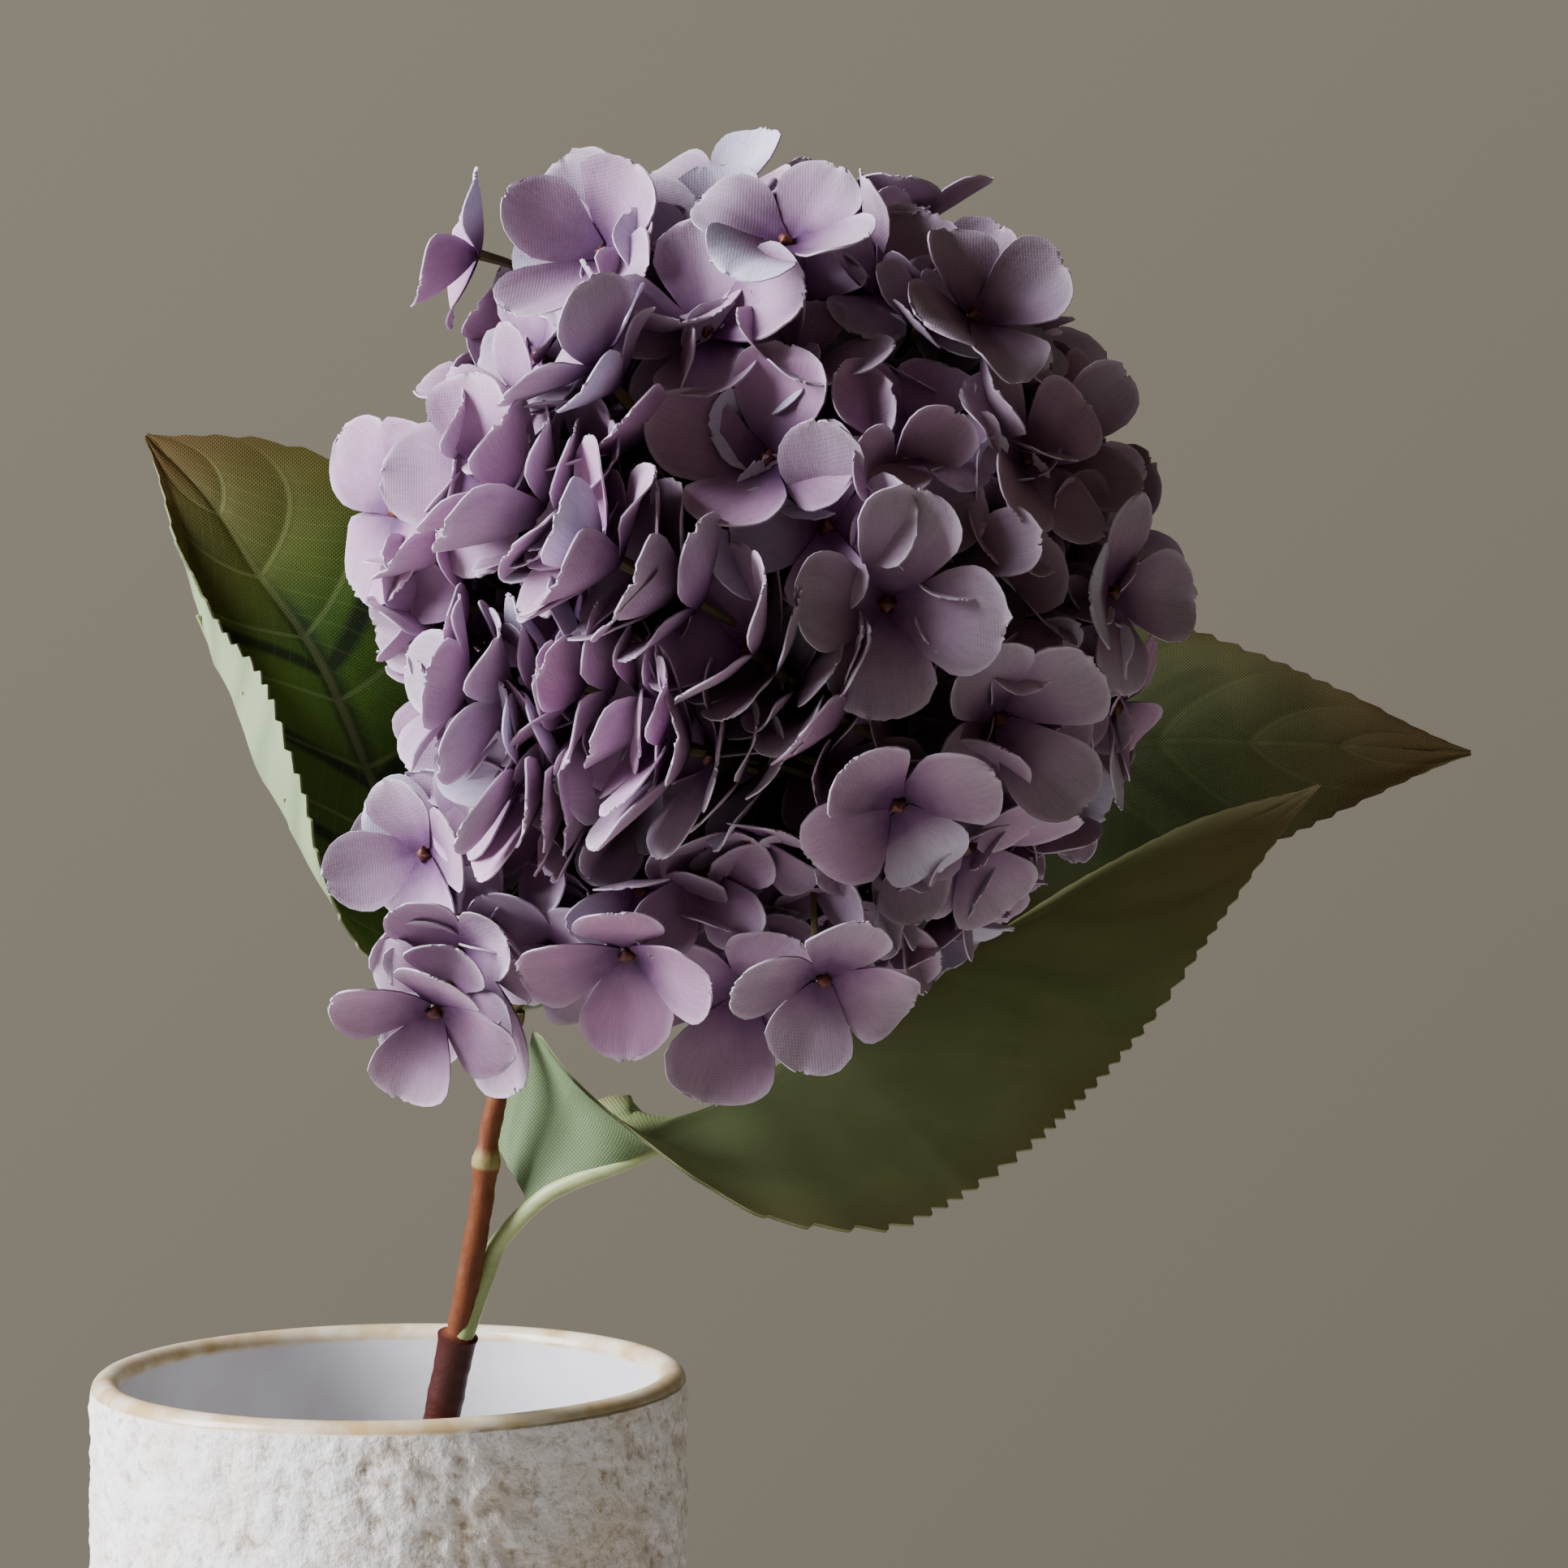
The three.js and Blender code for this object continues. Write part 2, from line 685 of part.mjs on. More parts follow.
// Moves to try, nearest first: outwards from the head, and along the way it looks.
const MOVES = [0, 1, 2, 3, 4, 5, 6]
  .flatMap((out) => [0, 1, -1, 2, -2, 3].map((ahead) => [out, ahead]))
  .sort((a, b) => Math.hypot(...a) - Math.hypot(...b));

// Moves and turns a floret, and then makes it smaller, until it and its twig clear all
// that stands already. Gives nothing where even a small one has no room.
function settle(floret, placed) {
  const facing = new THREE.Quaternion().setFromUnitVectors(vec(0, 0, 1), floret.look);
  const standing = [...obstacles, ...placed.flatMap((other) => [other.solid, other.twig])];
  const past = [...obstacles.slice(1), ...placed.map((other) => other.solid)];
  for (let span = floret.span; span > FLORET.least; span *= SHRINK) {
    const body = floretBody(span, 0);
    const solid = solidOf(body);
    const fat = solidOf(floretBody(span, GAP));
    for (const [out, ahead] of MOVES) {
      for (const extra of EXTRA_TURNS) {
        const axis = vec(0, 0, 1);
        const roll = new THREE.Quaternion().setFromAxisAngle(axis, radians(floret.turn + extra));
        const turned = facing.clone().multiply(roll);
        const spot = headPoint(floret.towards, floret.reach);
        spot.addScaledVector(floret.towards, STEP * out).addScaledVector(floret.look, STEP * ahead);
        const matrix = new THREE.Matrix4().compose(spot, turned, vec(1, 1, 1));
        const fatHere = fat.transform(matrix.toArray());
        if (standing.some((other) => overlap(fatHere, other))) continue;
        const tip = spot.clone().addScaledVector(floret.look, -FLORET.knobLength - GAP);
        const byDistance = [...knots].sort((a, b) => a.distanceTo(tip) - b.distanceTo(tip));
        for (const knot of byDistance.slice(0, KNOTS_TRIED)) {
          const fatTwig = twiglet(knot, tip, floret.look, TWIG_GAP);
          if (past.some((other) => overlap(fatTwig, other))) continue;
          const here = solid.transform(matrix.toArray());
          const twig = twiglet(knot, tip, floret.look, 0);
          return { solid: here, twig, body, spot, turned, span };
        }
      }
    }
  }
  return null;
}

const placed = [];
for (const floret of wantedFlorets()) {
  if (placed.length === FLORET.count) break;
  const settled = settle(floret, placed);
  if (settled) placed.push(settled);
}

for (const floret of placed) stem = stem.add(floret.twig);
addPiece("stem", geometryOf(stem), material(COLOURS.stem, 0.6));

placed.forEach((floret, i) => {
  const mesh = new THREE.Mesh(floret.body, material(COLOURS.floret, 0.8));
  mesh.name = `floret_${String(i + 1).padStart(2, "0")}`;
  mesh.position.copy(floret.spot);
  mesh.quaternion.copy(floret.turned);
  group.add(mesh);
});

export default group;
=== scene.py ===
# %% [markdown]
# # A fabric hydrangea in a stoneware vase
#
# One artificial hydrangea leans in a straight round vase. The vase is thrown stoneware
# with a rough, pitted glaze outside and a glossy one inside. The stem is a moulded
# plastic cane. The leaves and the florets are printed polyester, cut with a hot die and
# pressed into shape over a mould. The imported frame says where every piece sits, and each
# cell below makes one of those pieces in the same place with its real surface.

# %% The frame
import math
import bpy
import numpy as np
from mathutils import Matrix, Vector, noise


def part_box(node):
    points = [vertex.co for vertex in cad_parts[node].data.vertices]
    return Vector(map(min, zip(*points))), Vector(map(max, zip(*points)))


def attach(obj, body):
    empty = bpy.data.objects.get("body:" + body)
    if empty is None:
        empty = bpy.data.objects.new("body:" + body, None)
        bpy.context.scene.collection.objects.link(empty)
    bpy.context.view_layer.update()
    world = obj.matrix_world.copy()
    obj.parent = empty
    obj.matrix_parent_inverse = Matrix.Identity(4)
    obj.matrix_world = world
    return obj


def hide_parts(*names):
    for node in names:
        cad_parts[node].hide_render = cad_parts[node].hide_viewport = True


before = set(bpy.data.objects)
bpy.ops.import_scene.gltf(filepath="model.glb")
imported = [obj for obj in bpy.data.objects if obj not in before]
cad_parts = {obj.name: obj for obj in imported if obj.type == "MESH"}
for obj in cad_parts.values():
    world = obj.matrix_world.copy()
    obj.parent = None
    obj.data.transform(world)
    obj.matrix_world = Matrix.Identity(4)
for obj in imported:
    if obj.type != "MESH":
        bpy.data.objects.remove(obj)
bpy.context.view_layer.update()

# %% [markdown]
# ## Small helpers
#
# Sizes are written in millimetres and turned into Blender's metres by one factor.
# Colours are written as hex numbers, the way a paint or web swatch is named, and one
# function turns them into the linear light values that a shader works with.

# %% Units, colours and random numbers
MM = 0.001
SEED = 11
rng = np.random.default_rng(SEED)


def linear(hex_colour):
    """An sRGB hex colour as linear RGBA."""
    parts = [int(hex_colour[i : i + 2], 16) / 255 for i in (1, 3, 5)]
    light = [c / 12.92 if c <= 0.04045 else ((c + 0.055) / 1.055) ** 2.4 for c in parts]
    return (*light, 1.0)


def unit(vectors):
    """The same vectors at length 1, along the last axis."""
    vectors = np.asarray(vectors, dtype=float)
    return vectors / np.maximum(np.linalg.norm(vectors, axis=-1, keepdims=True), 1e-12)


# %% Meshes from arrays
def new_piece(name, points, faces, surface, values=None, uv=None, crease=50):
    """A mesh object at the origin. values holds one number for each point, by name."""
    mesh = bpy.data.meshes.new(name)
    mesh.from_pydata(np.asarray(points).tolist(), [], faces)
    for key, numbers in (values or {}).items():
        layer = mesh.attributes.new(key, "FLOAT", "POINT")
        layer.data.foreach_set("value", np.asarray(numbers, dtype=np.float32))
    if uv is not None:
        corners = np.empty(len(mesh.loops), dtype=np.int32)
        mesh.loops.foreach_get("vertex_index", corners)
        layer = mesh.uv_layers.new(name="UVMap")
        layer.data.foreach_set("uv", np.asarray(uv, dtype=np.float32)[corners].ravel())
    mesh.polygons.foreach_set("use_smooth", np.ones(len(mesh.polygons), dtype=bool))
    mesh.set_sharp_from_angle(angle=math.radians(crease))
    mesh.materials.append(surface)
    mesh.update()
    made = bpy.data.objects.new(name, mesh)
    bpy.context.scene.collection.objects.link(made)
    return made


def grid_faces(rows, columns, closed=False):
    """Quads over a grid of points, row after row. closed joins the last column to the first."""
    faces = []
    for i in range(rows - 1):
        for j in range(columns if closed else columns - 1):
            k = (j + 1) % columns
            faces.append((i * columns + j, (i + 1) * columns + j, (i + 1) * columns + k, i * columns + k))
    return faces


def grid_normals(grid):
    """The normal at each point of a grid of points."""
    down = np.gradient(grid, axis=0)
    across = np.gradient(grid, axis=1)
    return unit(np.cross(down, across))


_sheet_faces = {}


def sheet_solid(grid, thickness):
    """A thin closed sheet round a grid of points: its points and faces. The upper side's
    points come first, and then the underside's, in the same order."""
    rows, columns = grid.shape[:2]
    lift = grid_normals(grid) * thickness / 2
    points = np.concatenate([(grid + lift).reshape(-1, 3), (grid - lift).reshape(-1, 3)])
    if (rows, columns) not in _sheet_faces:
        upper = grid_faces(rows, columns)
        count = rows * columns
        under = [tuple(count + v for v in reversed(face)) for face in upper]
        edge = [i * columns for i in range(rows)]
        edge += [(rows - 1) * columns + j for j in range(1, columns)]
        edge += [i * columns + columns - 1 for i in range(rows - 2, -1, -1)]
        edge += list(range(columns - 2, 0, -1))
        rim = [
            (count + a, count + b, b, a)
            for a, b in zip(edge, edge[1:] + edge[:1], strict=True)
        ]
        _sheet_faces[(rows, columns)] = upper + under + rim
    return points, _sheet_faces[(rows, columns)]


class Bundle:
    """Many small solids gathered into one mesh."""

    def __init__(self):
        self.points, self.faces, self.uv, self.values, self.count = [], [], [], {}, 0

    def add(self, points, faces, uv, values):
        self.points.append(points)
        self.faces += [tuple(v + self.count for v in face) for face in faces]
        self.uv.append(uv)
        for key, numbers in values.items():
            spread = np.broadcast_to(np.asarray(numbers, dtype=float), (len(points),))
            self.values.setdefault(key, []).append(spread)
        self.count += len(points)

    def piece(self, name, surface, crease=50):
        values = {key: np.concatenate(parts) for key, parts in self.values.items()}
        uv = np.concatenate(self.uv)
        return new_piece(name, np.concatenate(self.points), self.faces, surface, values, uv, crease)


# %% Shader nodes
def add_node(tree, kind, inputs=None, **settings):
    """Adds a node with its settings, and sets or links its inputs by name or number."""
    node = tree.nodes.new(kind)
    for key, value in settings.items():
        setattr(node, key, value)
    for key, value in (inputs or {}).items():
        if isinstance(value, bpy.types.NodeSocket):
            tree.links.new(value, node.inputs[key])
        else:
            node.inputs[key].default_value = value
    return node


def new_material(name):
    """An empty material, its node tree and its output node."""
    made = bpy.data.materials.new(name)
    made.use_nodes = True
    made.node_tree.nodes.clear()
    return made, made.node_tree, add_node(made.node_tree, "ShaderNodeOutputMaterial")


def blend_colours(tree, share, first, second):
    """A colour between two colours, as linked sockets or hex numbers."""
    mix = add_node(tree, "ShaderNodeMix", data_type="RGBA")
    for key, value in ((0, share), (6, first), (7, second)):
        if isinstance(value, bpy.types.NodeSocket):
            tree.links.new(value, mix.inputs[key])
        else:
            mix.inputs[key].default_value = linear(value) if isinstance(value, str) else value
    return mix.outputs[2]


def fill_ramp(ramp, stops):
    """Gives a Color Ramp node its colours, as places and hex numbers."""
    while len(ramp.color_ramp.elements) < len(stops):
        ramp.color_ramp.elements.new(0.5)
    for element, (place, colour) in zip(ramp.color_ramp.elements, stops, strict=True):
        element.position = place
        element.color = linear(colour)


def maths(tree, operation, *values):
    """A Math node's result."""
    node = add_node(tree, "ShaderNodeMath", dict(enumerate(values)), operation=operation)
    return node.outputs[0]


def remap(tree, value, low, high, to_low=0.0, to_high=1.0):
    """A value stretched from one range to another, and held inside it."""
    inputs = {0: value, 1: low, 2: high, 3: to_low, 4: to_high}
    return add_node(tree, "ShaderNodeMapRange", inputs).outputs[0]


def object_noise(tree, scale, detail=4.0, roughness=0.55, stretch=(1, 1, 1)):
    """Noise over Object coordinates. scale is in bumps for each metre."""
    coordinates = add_node(tree, "ShaderNodeTexCoord").outputs["Object"]
    mapping = add_node(tree, "ShaderNodeMapping", {"Vector": coordinates, "Scale": stretch})
    inputs = {"Vector": mapping.outputs[0], "Scale": scale, "Detail": detail, "Roughness": roughness}
    return add_node(tree, "ShaderNodeTexNoise", inputs).outputs[0]


def point_value(tree, name):
    """A number kept on the mesh's points."""
    return add_node(tree, "ShaderNodeAttribute", attribute_name=name).outputs["Fac"]


# %% [markdown]
# ## Camera, light and floor
#
# The view is level with the lower part of the flower head, from a little over half a
# metre away through a long lens, so the vase's mouth shows as a narrow ellipse. The only
# lamp is a tall soft one on the left, where a window would be. The surroundings are a
# grey-brown wall behind the vase, a little paler towards the upper left, and a darker
# room in front of it, which leaves the shaded side deep. The floor is a pale disc.

# %% Camera
head_low = np.min([list(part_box(n)[0]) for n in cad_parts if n.startswith("floret")], axis=0)
head_high = np.max([list(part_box(n)[1]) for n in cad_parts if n.startswith("floret")], axis=0)
head_centre = (head_low + head_high) / 2
head_radii = (head_high - head_low) / 2
print("flower head, centre and radii, mm:", head_centre / MM, head_radii / MM)

CAMERA_PLACE = Vector((73.3, -634, 289)) * MM
FOCAL_LENGTH = 78
lens = bpy.data.cameras.new("camera")
lens.lens = FOCAL_LENGTH
lens.sensor_width = 36
lens.clip_start = 0.01
camera = bpy.data.objects.new("camera", lens)
camera.location = CAMERA_PLACE
camera.rotation_euler = (math.radians(90), 0, 0)
bpy.context.scene.collection.objects.link(camera)
bpy.context.scene.camera = camera


# %% Light
def add_lamp(name, azimuth, elevation, distance, size, power, colour):
    """A soft rectangular lamp that looks at the flower head. Azimuth 0 is the front."""
    turn, rise = math.radians(azimuth), math.radians(elevation)
    way = Vector((math.sin(turn) * math.cos(rise), -math.cos(turn) * math.cos(rise), math.sin(rise)))
    lamp = bpy.data.lights.new(name, "AREA")
    lamp.shape = "RECTANGLE"
    lamp.size, lamp.size_y = size
    lamp.energy = power
    lamp.color = linear(colour)[:3]
    holder = bpy.data.objects.new(name, lamp)
    holder.location = Vector(head_centre) + way * distance
    holder.rotation_euler = way.to_track_quat("Z", "Y").to_euler()
    bpy.context.scene.collection.objects.link(holder)


add_lamp("window", -75, 22, 1.1, (0.5, 0.9), 62, "#eff1fc")

world = bpy.data.worlds.new("surroundings")
world.use_nodes = True
tree = world.node_tree
tree.nodes.clear()
way = add_node(tree, "ShaderNodeTexCoord").outputs["Generated"]


def facing_share(towards, low, high):
    """How far the surroundings in each direction lie towards one side, from 0 to 1."""
    towards_it = add_node(tree, "ShaderNodeVectorMath", {0: way, 1: towards}, operation="DOT_PRODUCT")
    return remap(tree, towards_it.outputs["Value"], low, high)


TO_WINDOW_CORNER = (-0.7, 0, 0.7)
TO_WALL = (-0.3, 0.93, 0.2)
wall = blend_colours(tree, facing_share(TO_WINDOW_CORNER, -0.3, 0.3), "#7b7468", "#8d8679")
room = blend_colours(tree, facing_share(TO_WALL, 0.1, 0.75), "#574f45", wall)
surroundings = add_node(tree, "ShaderNodeBackground", {"Color": room, "Strength": 1.0})
add_node(tree, "ShaderNodeOutputWorld", {0: surroundings.outputs[0]})
bpy.context.scene.world = world

# %% Floor
FLOOR_RADIUS = 600 * MM
floor_finish, tree, output = new_material("matt_painted_board")
speck = object_noise(tree, 900)
tone = blend_colours(tree, speck, "#bfbab0", "#c8c4bb")
board = add_node(tree, "ShaderNodeBsdfPrincipled", {"Base Color": tone, "Roughness": 0.8})
tree.links.new(board.outputs[0], output.inputs[0])
turns = np.linspace(0, 2 * np.pi, 96, endpoint=False)
disc = np.stack([FLOOR_RADIUS * np.cos(turns), FLOOR_RADIUS * np.sin(turns), 0 * turns], axis=1)
floor = new_piece("floor", disc, [tuple(range(len(disc)))], floor_finish)

# %% [markdown]
# ## Vase
#
# The vase is a straight cylinder of stoneware clay. Outside, a stiff white glaze has
# crawled and pitted over the coarse clay, so it is rough to the touch and the tan body
# shows through in the pits. The lip is wiped almost bare, so it fires tan, and the inside
# has a smooth, glossy, grey-white glaze. Noise alone in a bump map would leave the
# outline straight, so the outer wall is a fine lathe whose points are moved by noise.
# The depth of each pit is kept on the points, and the colour follows it.

# %% Vase wall
vase_low, vase_high = (np.array(corner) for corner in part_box("vase"))
VASE_RADIUS = (vase_high[0] - vase_low[0]) / 2
VASE_HEIGHT = vase_high[2]
VASE_WALL = 5 * MM
VASE_BASE = 8 * MM
FOOT_BEVEL = 2.5 * MM
INNER_FILLET = 6 * MM
LIP_RUN = 0.8 * MM  # how far the tan glaze of the lip runs down inside
LIP_FADE = 7 * MM  # below the lip the relief grows to its full depth in this distance
FOOT_FADE = 4 * MM
PIT_REACH = 0.45  # radius of a pit, as a share of the distance between pits
VASE_TURNS = 330
OUTER_STEP = 1.1 * MM


def vase_profile():
    """Rings of the vase from the middle of its foot, up the outside, over the lip and
    down the inside: radius, height and zone (0 outside, 1 lip, 2 inside)."""
    lip = VASE_WALL / 2
    rings = [(VASE_RADIUS * share, 0.0, 0.0) for share in (0.02, 0.35, 0.7, 0.9)]
    for turn in np.linspace(0, math.pi / 2, 5):
        x = VASE_RADIUS - FOOT_BEVEL + FOOT_BEVEL * math.sin(turn)
        rings.append((x, FOOT_BEVEL - FOOT_BEVEL * math.cos(turn), 0.0))
    steps = int((VASE_HEIGHT - lip - FOOT_BEVEL) / OUTER_STEP)
    for z in np.linspace(FOOT_BEVEL, VASE_HEIGHT - lip, steps)[1:]:
        rings.append((VASE_RADIUS, z, 0.0))
    for turn in np.linspace(0, math.pi, 13)[1:]:
        x = VASE_RADIUS - lip + lip * math.cos(turn)
        rings.append((x, VASE_HEIGHT - lip + lip * math.sin(turn), 1.0))
    inside = VASE_RADIUS - VASE_WALL
    rings.append((inside, VASE_HEIGHT - lip - LIP_RUN, 2.0))
    for z in np.linspace(VASE_HEIGHT - lip, VASE_BASE + INNER_FILLET, 26)[1:]:
        rings.append((inside, z, 2.0))
    for turn in np.linspace(0, math.pi / 2, 7)[1:]:
        x = inside - INNER_FILLET + INNER_FILLET * math.cos(turn)
        rings.append((x, VASE_BASE + INNER_FILLET - INNER_FILLET * math.sin(turn), 2.0))
    for share in (0.6, 0.3, 0.02):
        rings.append((inside * share, VASE_BASE, 2.0))
    return rings


def glaze_relief(place):
    """How far the outer glaze stands off the wall at a place, in mm: soft lumps about 5 mm
    apart, grain about 2 mm apart, and round pits."""
    broad = noise.noise(place * 40)
    lumps = noise.fractal(place * 200, 0.8, 2.1, 3)
    grain = noise.fractal(place * 420, 0.8, 2.0, 2)
    from_pit = noise.voronoi(place * 330)[0][0]
    pit = max(0.0, PIT_REACH - from_pit) / PIT_REACH
    crawl = min(max(broad + 0.85, 0.6), 1.2)
    return crawl * (0.52 * lumps + 0.34 * grain - 0.7 * pit)


def make_vase():
    """The vase's points and faces, with the relief and the zone at each point."""
    rings = vase_profile()
    points, relief, zones = [], [], []
    for radius, z, zone in rings:
        lip_share = np.clip((VASE_HEIGHT - z) / LIP_FADE, 0, 1)
        foot_share = np.clip(z / FOOT_FADE, 0, 1)
        for turn in np.linspace(0, 2 * np.pi, VASE_TURNS, endpoint=False):
            way = Vector((math.cos(turn), math.sin(turn), 0))
            depth = 0.0
            if zone == 0 and z > 0:
                depth = glaze_relief(way * radius + Vector((0, 0, z))) * lip_share * foot_share
            if zone == 1:
                depth = 0.12 * noise.fractal(way * radius * 60 + Vector((0, 0, z * 60)), 1, 2, 2)
            spot = way * (radius + depth * MM)
            points.append((spot.x, spot.y, z))
            relief.append(depth)
            zones.append(zone)
    faces = [tuple(reversed(face)) for face in grid_faces(len(rings), VASE_TURNS, closed=True)]
    last = (len(rings) - 1) * VASE_TURNS
    faces.append(tuple(range(VASE_TURNS))[::-1])
    faces.append(tuple(last + j for j in range(VASE_TURNS)))
    return points, faces, {"relief": relief, "zone": zones}


# %% [markdown]
# Glazed stoneware is clay under a skin of glass. Its glass has an IOR near 1.5, so even
# the rough outside keeps a soft gleam on the lumps, and the smooth inside mirrors the
# window. The tan clay shows where the glaze is thin, in the pits and in fine specks, and
# the whole outside is a little crusty to the touch.

# %% Stoneware and its glazes
def stoneware():
    """White crawled glaze outside, tan at the lip, grey-white and glossy inside."""
    finish, tree, output = new_material("glazed_stoneware")
    relief = point_value(tree, "relief")
    zone = point_value(tree, "zone")
    clouds = object_noise(tree, 55, 5)
    specks = object_noise(tree, 620, 4)
    crust = object_noise(tree, 330, 5, 0.65)
    white = blend_colours(tree, remap(tree, clouds, 0.35, 0.65), "#f6f4f2", "#e6dccd")
    speckled = remap(tree, specks, 0.48, 0.68, 0.0, 1.1)
    thin = maths(tree, "ADD", maths(tree, "MULTIPLY", relief, -1.3), speckled)
    outside = blend_colours(tree, remap(tree, thin, 0.25, 1.6, 0.0, 0.75), white, "#a58c66")
    lip_noise = object_noise(tree, 120, 3)
    lip = blend_colours(tree, remap(tree, lip_noise, 0.35, 0.65), "#bfa273", "#dccfb4")
    inside = blend_colours(tree, remap(tree, clouds, 0.3, 0.7), "#d9d8da", "#cbc8c8")
    near_lip = remap(tree, zone, 0.0, 0.85)
    colour = blend_colours(tree, near_lip, outside, lip)
    colour = blend_colours(tree, remap(tree, zone, 1.05, 1.9), colour, inside)
    rough = remap(tree, zone, 0.3, 1.2, 0.62, 0.16)
    roughened = maths(tree, "ADD", crust, maths(tree, "MULTIPLY", specks, 0.5))
    bump_height = maths(tree, "MULTIPLY", roughened, remap(tree, zone, 0.2, 1.0, 1.0, 0.06))
    bump = add_node(tree, "ShaderNodeBump", {"Strength": 0.6, "Distance": MM, "Height": bump_height})
    clay = add_node(
        tree,
        "ShaderNodeBsdfPrincipled",
        {"Base Color": colour, "Roughness": rough, "Normal": bump.outputs[0], "IOR": 1.5},
    )
    tree.links.new(clay.outputs[0], output.inputs[0])
    return finish


points, faces, values = make_vase()
vase = new_piece("stoneware_vase", points, faces, stoneware(), values)
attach(vase, "root")
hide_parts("vase")
print("vase:", len(vase.data.polygons), "faces, relief", min(values["relief"]), max(values["relief"]), "mm")

# %% [markdown]
# ## Tubes along paths
#
# The cane, its twigs and the leaves' ribs are all round rods that get thinner along
# their length. Each one is a path of points with a radius at every point, and one
# Geometry Nodes tree sweeps a circle along all of them. It is a rule and not a lump of
# clay, so the same tree serves every rod, and a radius can be changed in one place.

# %% A node tree that sweeps rods
def rod_tree(name, surface):
    """Sweeps a circle along every path, as thick as the radius kept on its points."""
    tree = bpy.data.node_groups.new(name, "GeometryNodeTree")
    tree.interface.new_socket("Geometry", in_out="INPUT", socket_type="NodeSocketGeometry")
    sides = tree.interface.new_socket("Sides", in_out="INPUT", socket_type="NodeSocketInt")
    sides.default_value = 12
    tree.interface.new_socket("Geometry", in_out="OUTPUT", socket_type="NodeSocketGeometry")
    start = add_node(tree, "NodeGroupInput")
    to_curve = add_node(tree, "GeometryNodeMeshToCurve", {0: start.outputs[0]})
    radius = add_node(tree, "GeometryNodeInputNamedAttribute", {0: "radius"}, data_type="FLOAT")
    ring = {"Resolution": start.outputs[1], "Radius": 1.0}
    circle = add_node(tree, "GeometryNodeCurvePrimitiveCircle", ring)
    inputs = {"Curve": to_curve.outputs[0], "Profile Curve": circle.outputs[0]}
    inputs |= {"Scale": radius.outputs[0], "Fill Caps": True}
    swept = add_node(tree, "GeometryNodeCurveToMesh", inputs)
    smooth = add_node(tree, "GeometryNodeSetShadeSmooth", {"Geometry": swept.outputs[0]})
    real = add_node(tree, "GeometryNodeRealizeInstances", {0: smooth.outputs[0]})
    painted = add_node(tree, "GeometryNodeSetMaterial", {"Geometry": real.outputs[0], "Material": surface})
    add_node(tree, "NodeGroupOutput", {0: painted.outputs[0]})
    return tree


def evaluated_piece(source, name, tree, settings):
    """Runs a node tree on an object and keeps the result as a plain mesh object."""
    modifier = source.modifiers.new("tree", "NODES")
    modifier.node_group = tree
    for item in tree.interface.items_tree:
        if item.in_out == "INPUT" and item.name in settings:
            modifier[item.identifier] = settings[item.name]
    graph = bpy.context.evaluated_depsgraph_get()
    mesh = bpy.data.meshes.new_from_object(source.evaluated_get(graph))
    mesh.name = name
    mesh.set_sharp_from_angle(angle=math.radians(50))
    made = bpy.data.objects.new(name, mesh)
    bpy.context.scene.collection.objects.link(made)
    source.modifiers.remove(modifier)
    bpy.data.objects.remove(source)
    return made


def rods(name, paths, surface, sides=12):
    """One piece of swept rods. Each path is (points, radii, zone), in metres."""
    points, edges, radii, zones = [], [], [], []
    for path, path_radii, zone in paths:
        first = len(points)
        points += [tuple(p) for p in path]
        edges += [(first + i, first + i + 1) for i in range(len(path) - 1)]
        radii += list(path_radii)
        zones += list(np.broadcast_to(zone, (len(path),)))
    mesh = bpy.data.meshes.new(name + "_paths")
    mesh.from_pydata(points, edges, [])
    for key, numbers in (("radius", radii), ("zone", zones)):
        mesh.attributes.new(key, "FLOAT", "POINT").data.foreach_set("value", numbers)
    source = bpy.data.objects.new(name + "_paths", mesh)
    bpy.context.scene.collection.objects.link(source)
    return evaluated_piece(source, name, rod_tree(name + "_sweep", surface), {"Sides": sides})


def between(first, second, low, high, at):
    """The place on the way from one point to another, which are reached at low and high."""
    return (first * (high - at) + second * (at - low)) / (high - low)


def smooth_path(points, count):
    """Points evenly along a centripetal Catmull-Rom curve through the given ones."""
    points = [np.asarray(p, dtype=float) for p in points]
    ends = [2 * points[0] - points[1], *points, 2 * points[-1] - points[-2]]
    fine = []
    for a, b, c, d in zip(ends, ends[1:], ends[2:], ends[3:], strict=False):
        steps = [math.sqrt(np.linalg.norm(q - p)) for p, q in ((a, b), (b, c), (c, d))]
        k0, k1, k2, k3 = np.cumsum([0, *steps])
        for t in np.linspace(k1, k2, 40, endpoint=False):
            ab, bc, cd = between(a, b, k0, k1, t), between(b, c, k1, k2, t), between(c, d, k2, k3, t)
            fine.append(between(between(ab, bc, k0, k2, t), between(bc, cd, k1, k3, t), k1, k2, t))
    fine = np.array([*fine, points[-1]])
    travel = np.concatenate([[0], np.cumsum(np.linalg.norm(np.diff(fine, axis=0), axis=1))])
    wanted = np.linspace(0, travel[-1], count)
    return np.stack([np.interp(wanted, travel, fine[:, k]) for k in range(3)], axis=1)


# %% [markdown]
# ## Stem
#
# The stem is a wire inside moulded polyethylene. A dark red sleeve is pushed over its
# lower end, an orange-brown cane comes out of the sleeve, and a yellow-green ring marks
# the node where the cane turns thinner. Its axis is measured from the CAD solid: slices
# at set heights give the middle of the cane there. The radii are written down as a
# profile, because the real cane is slimmer than its solid above the sleeve.

# %% The cane's axis from slices of the CAD solid
def cad_points(name):
    """A CAD node's points and triangles."""
    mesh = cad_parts[name].data
    points = np.array([v.co for v in mesh.vertices])
    mesh.calc_loop_triangles()
    return points, np.array([t.vertices for t in mesh.loop_triangles])


stem_points, stem_triangles = cad_points("stem")


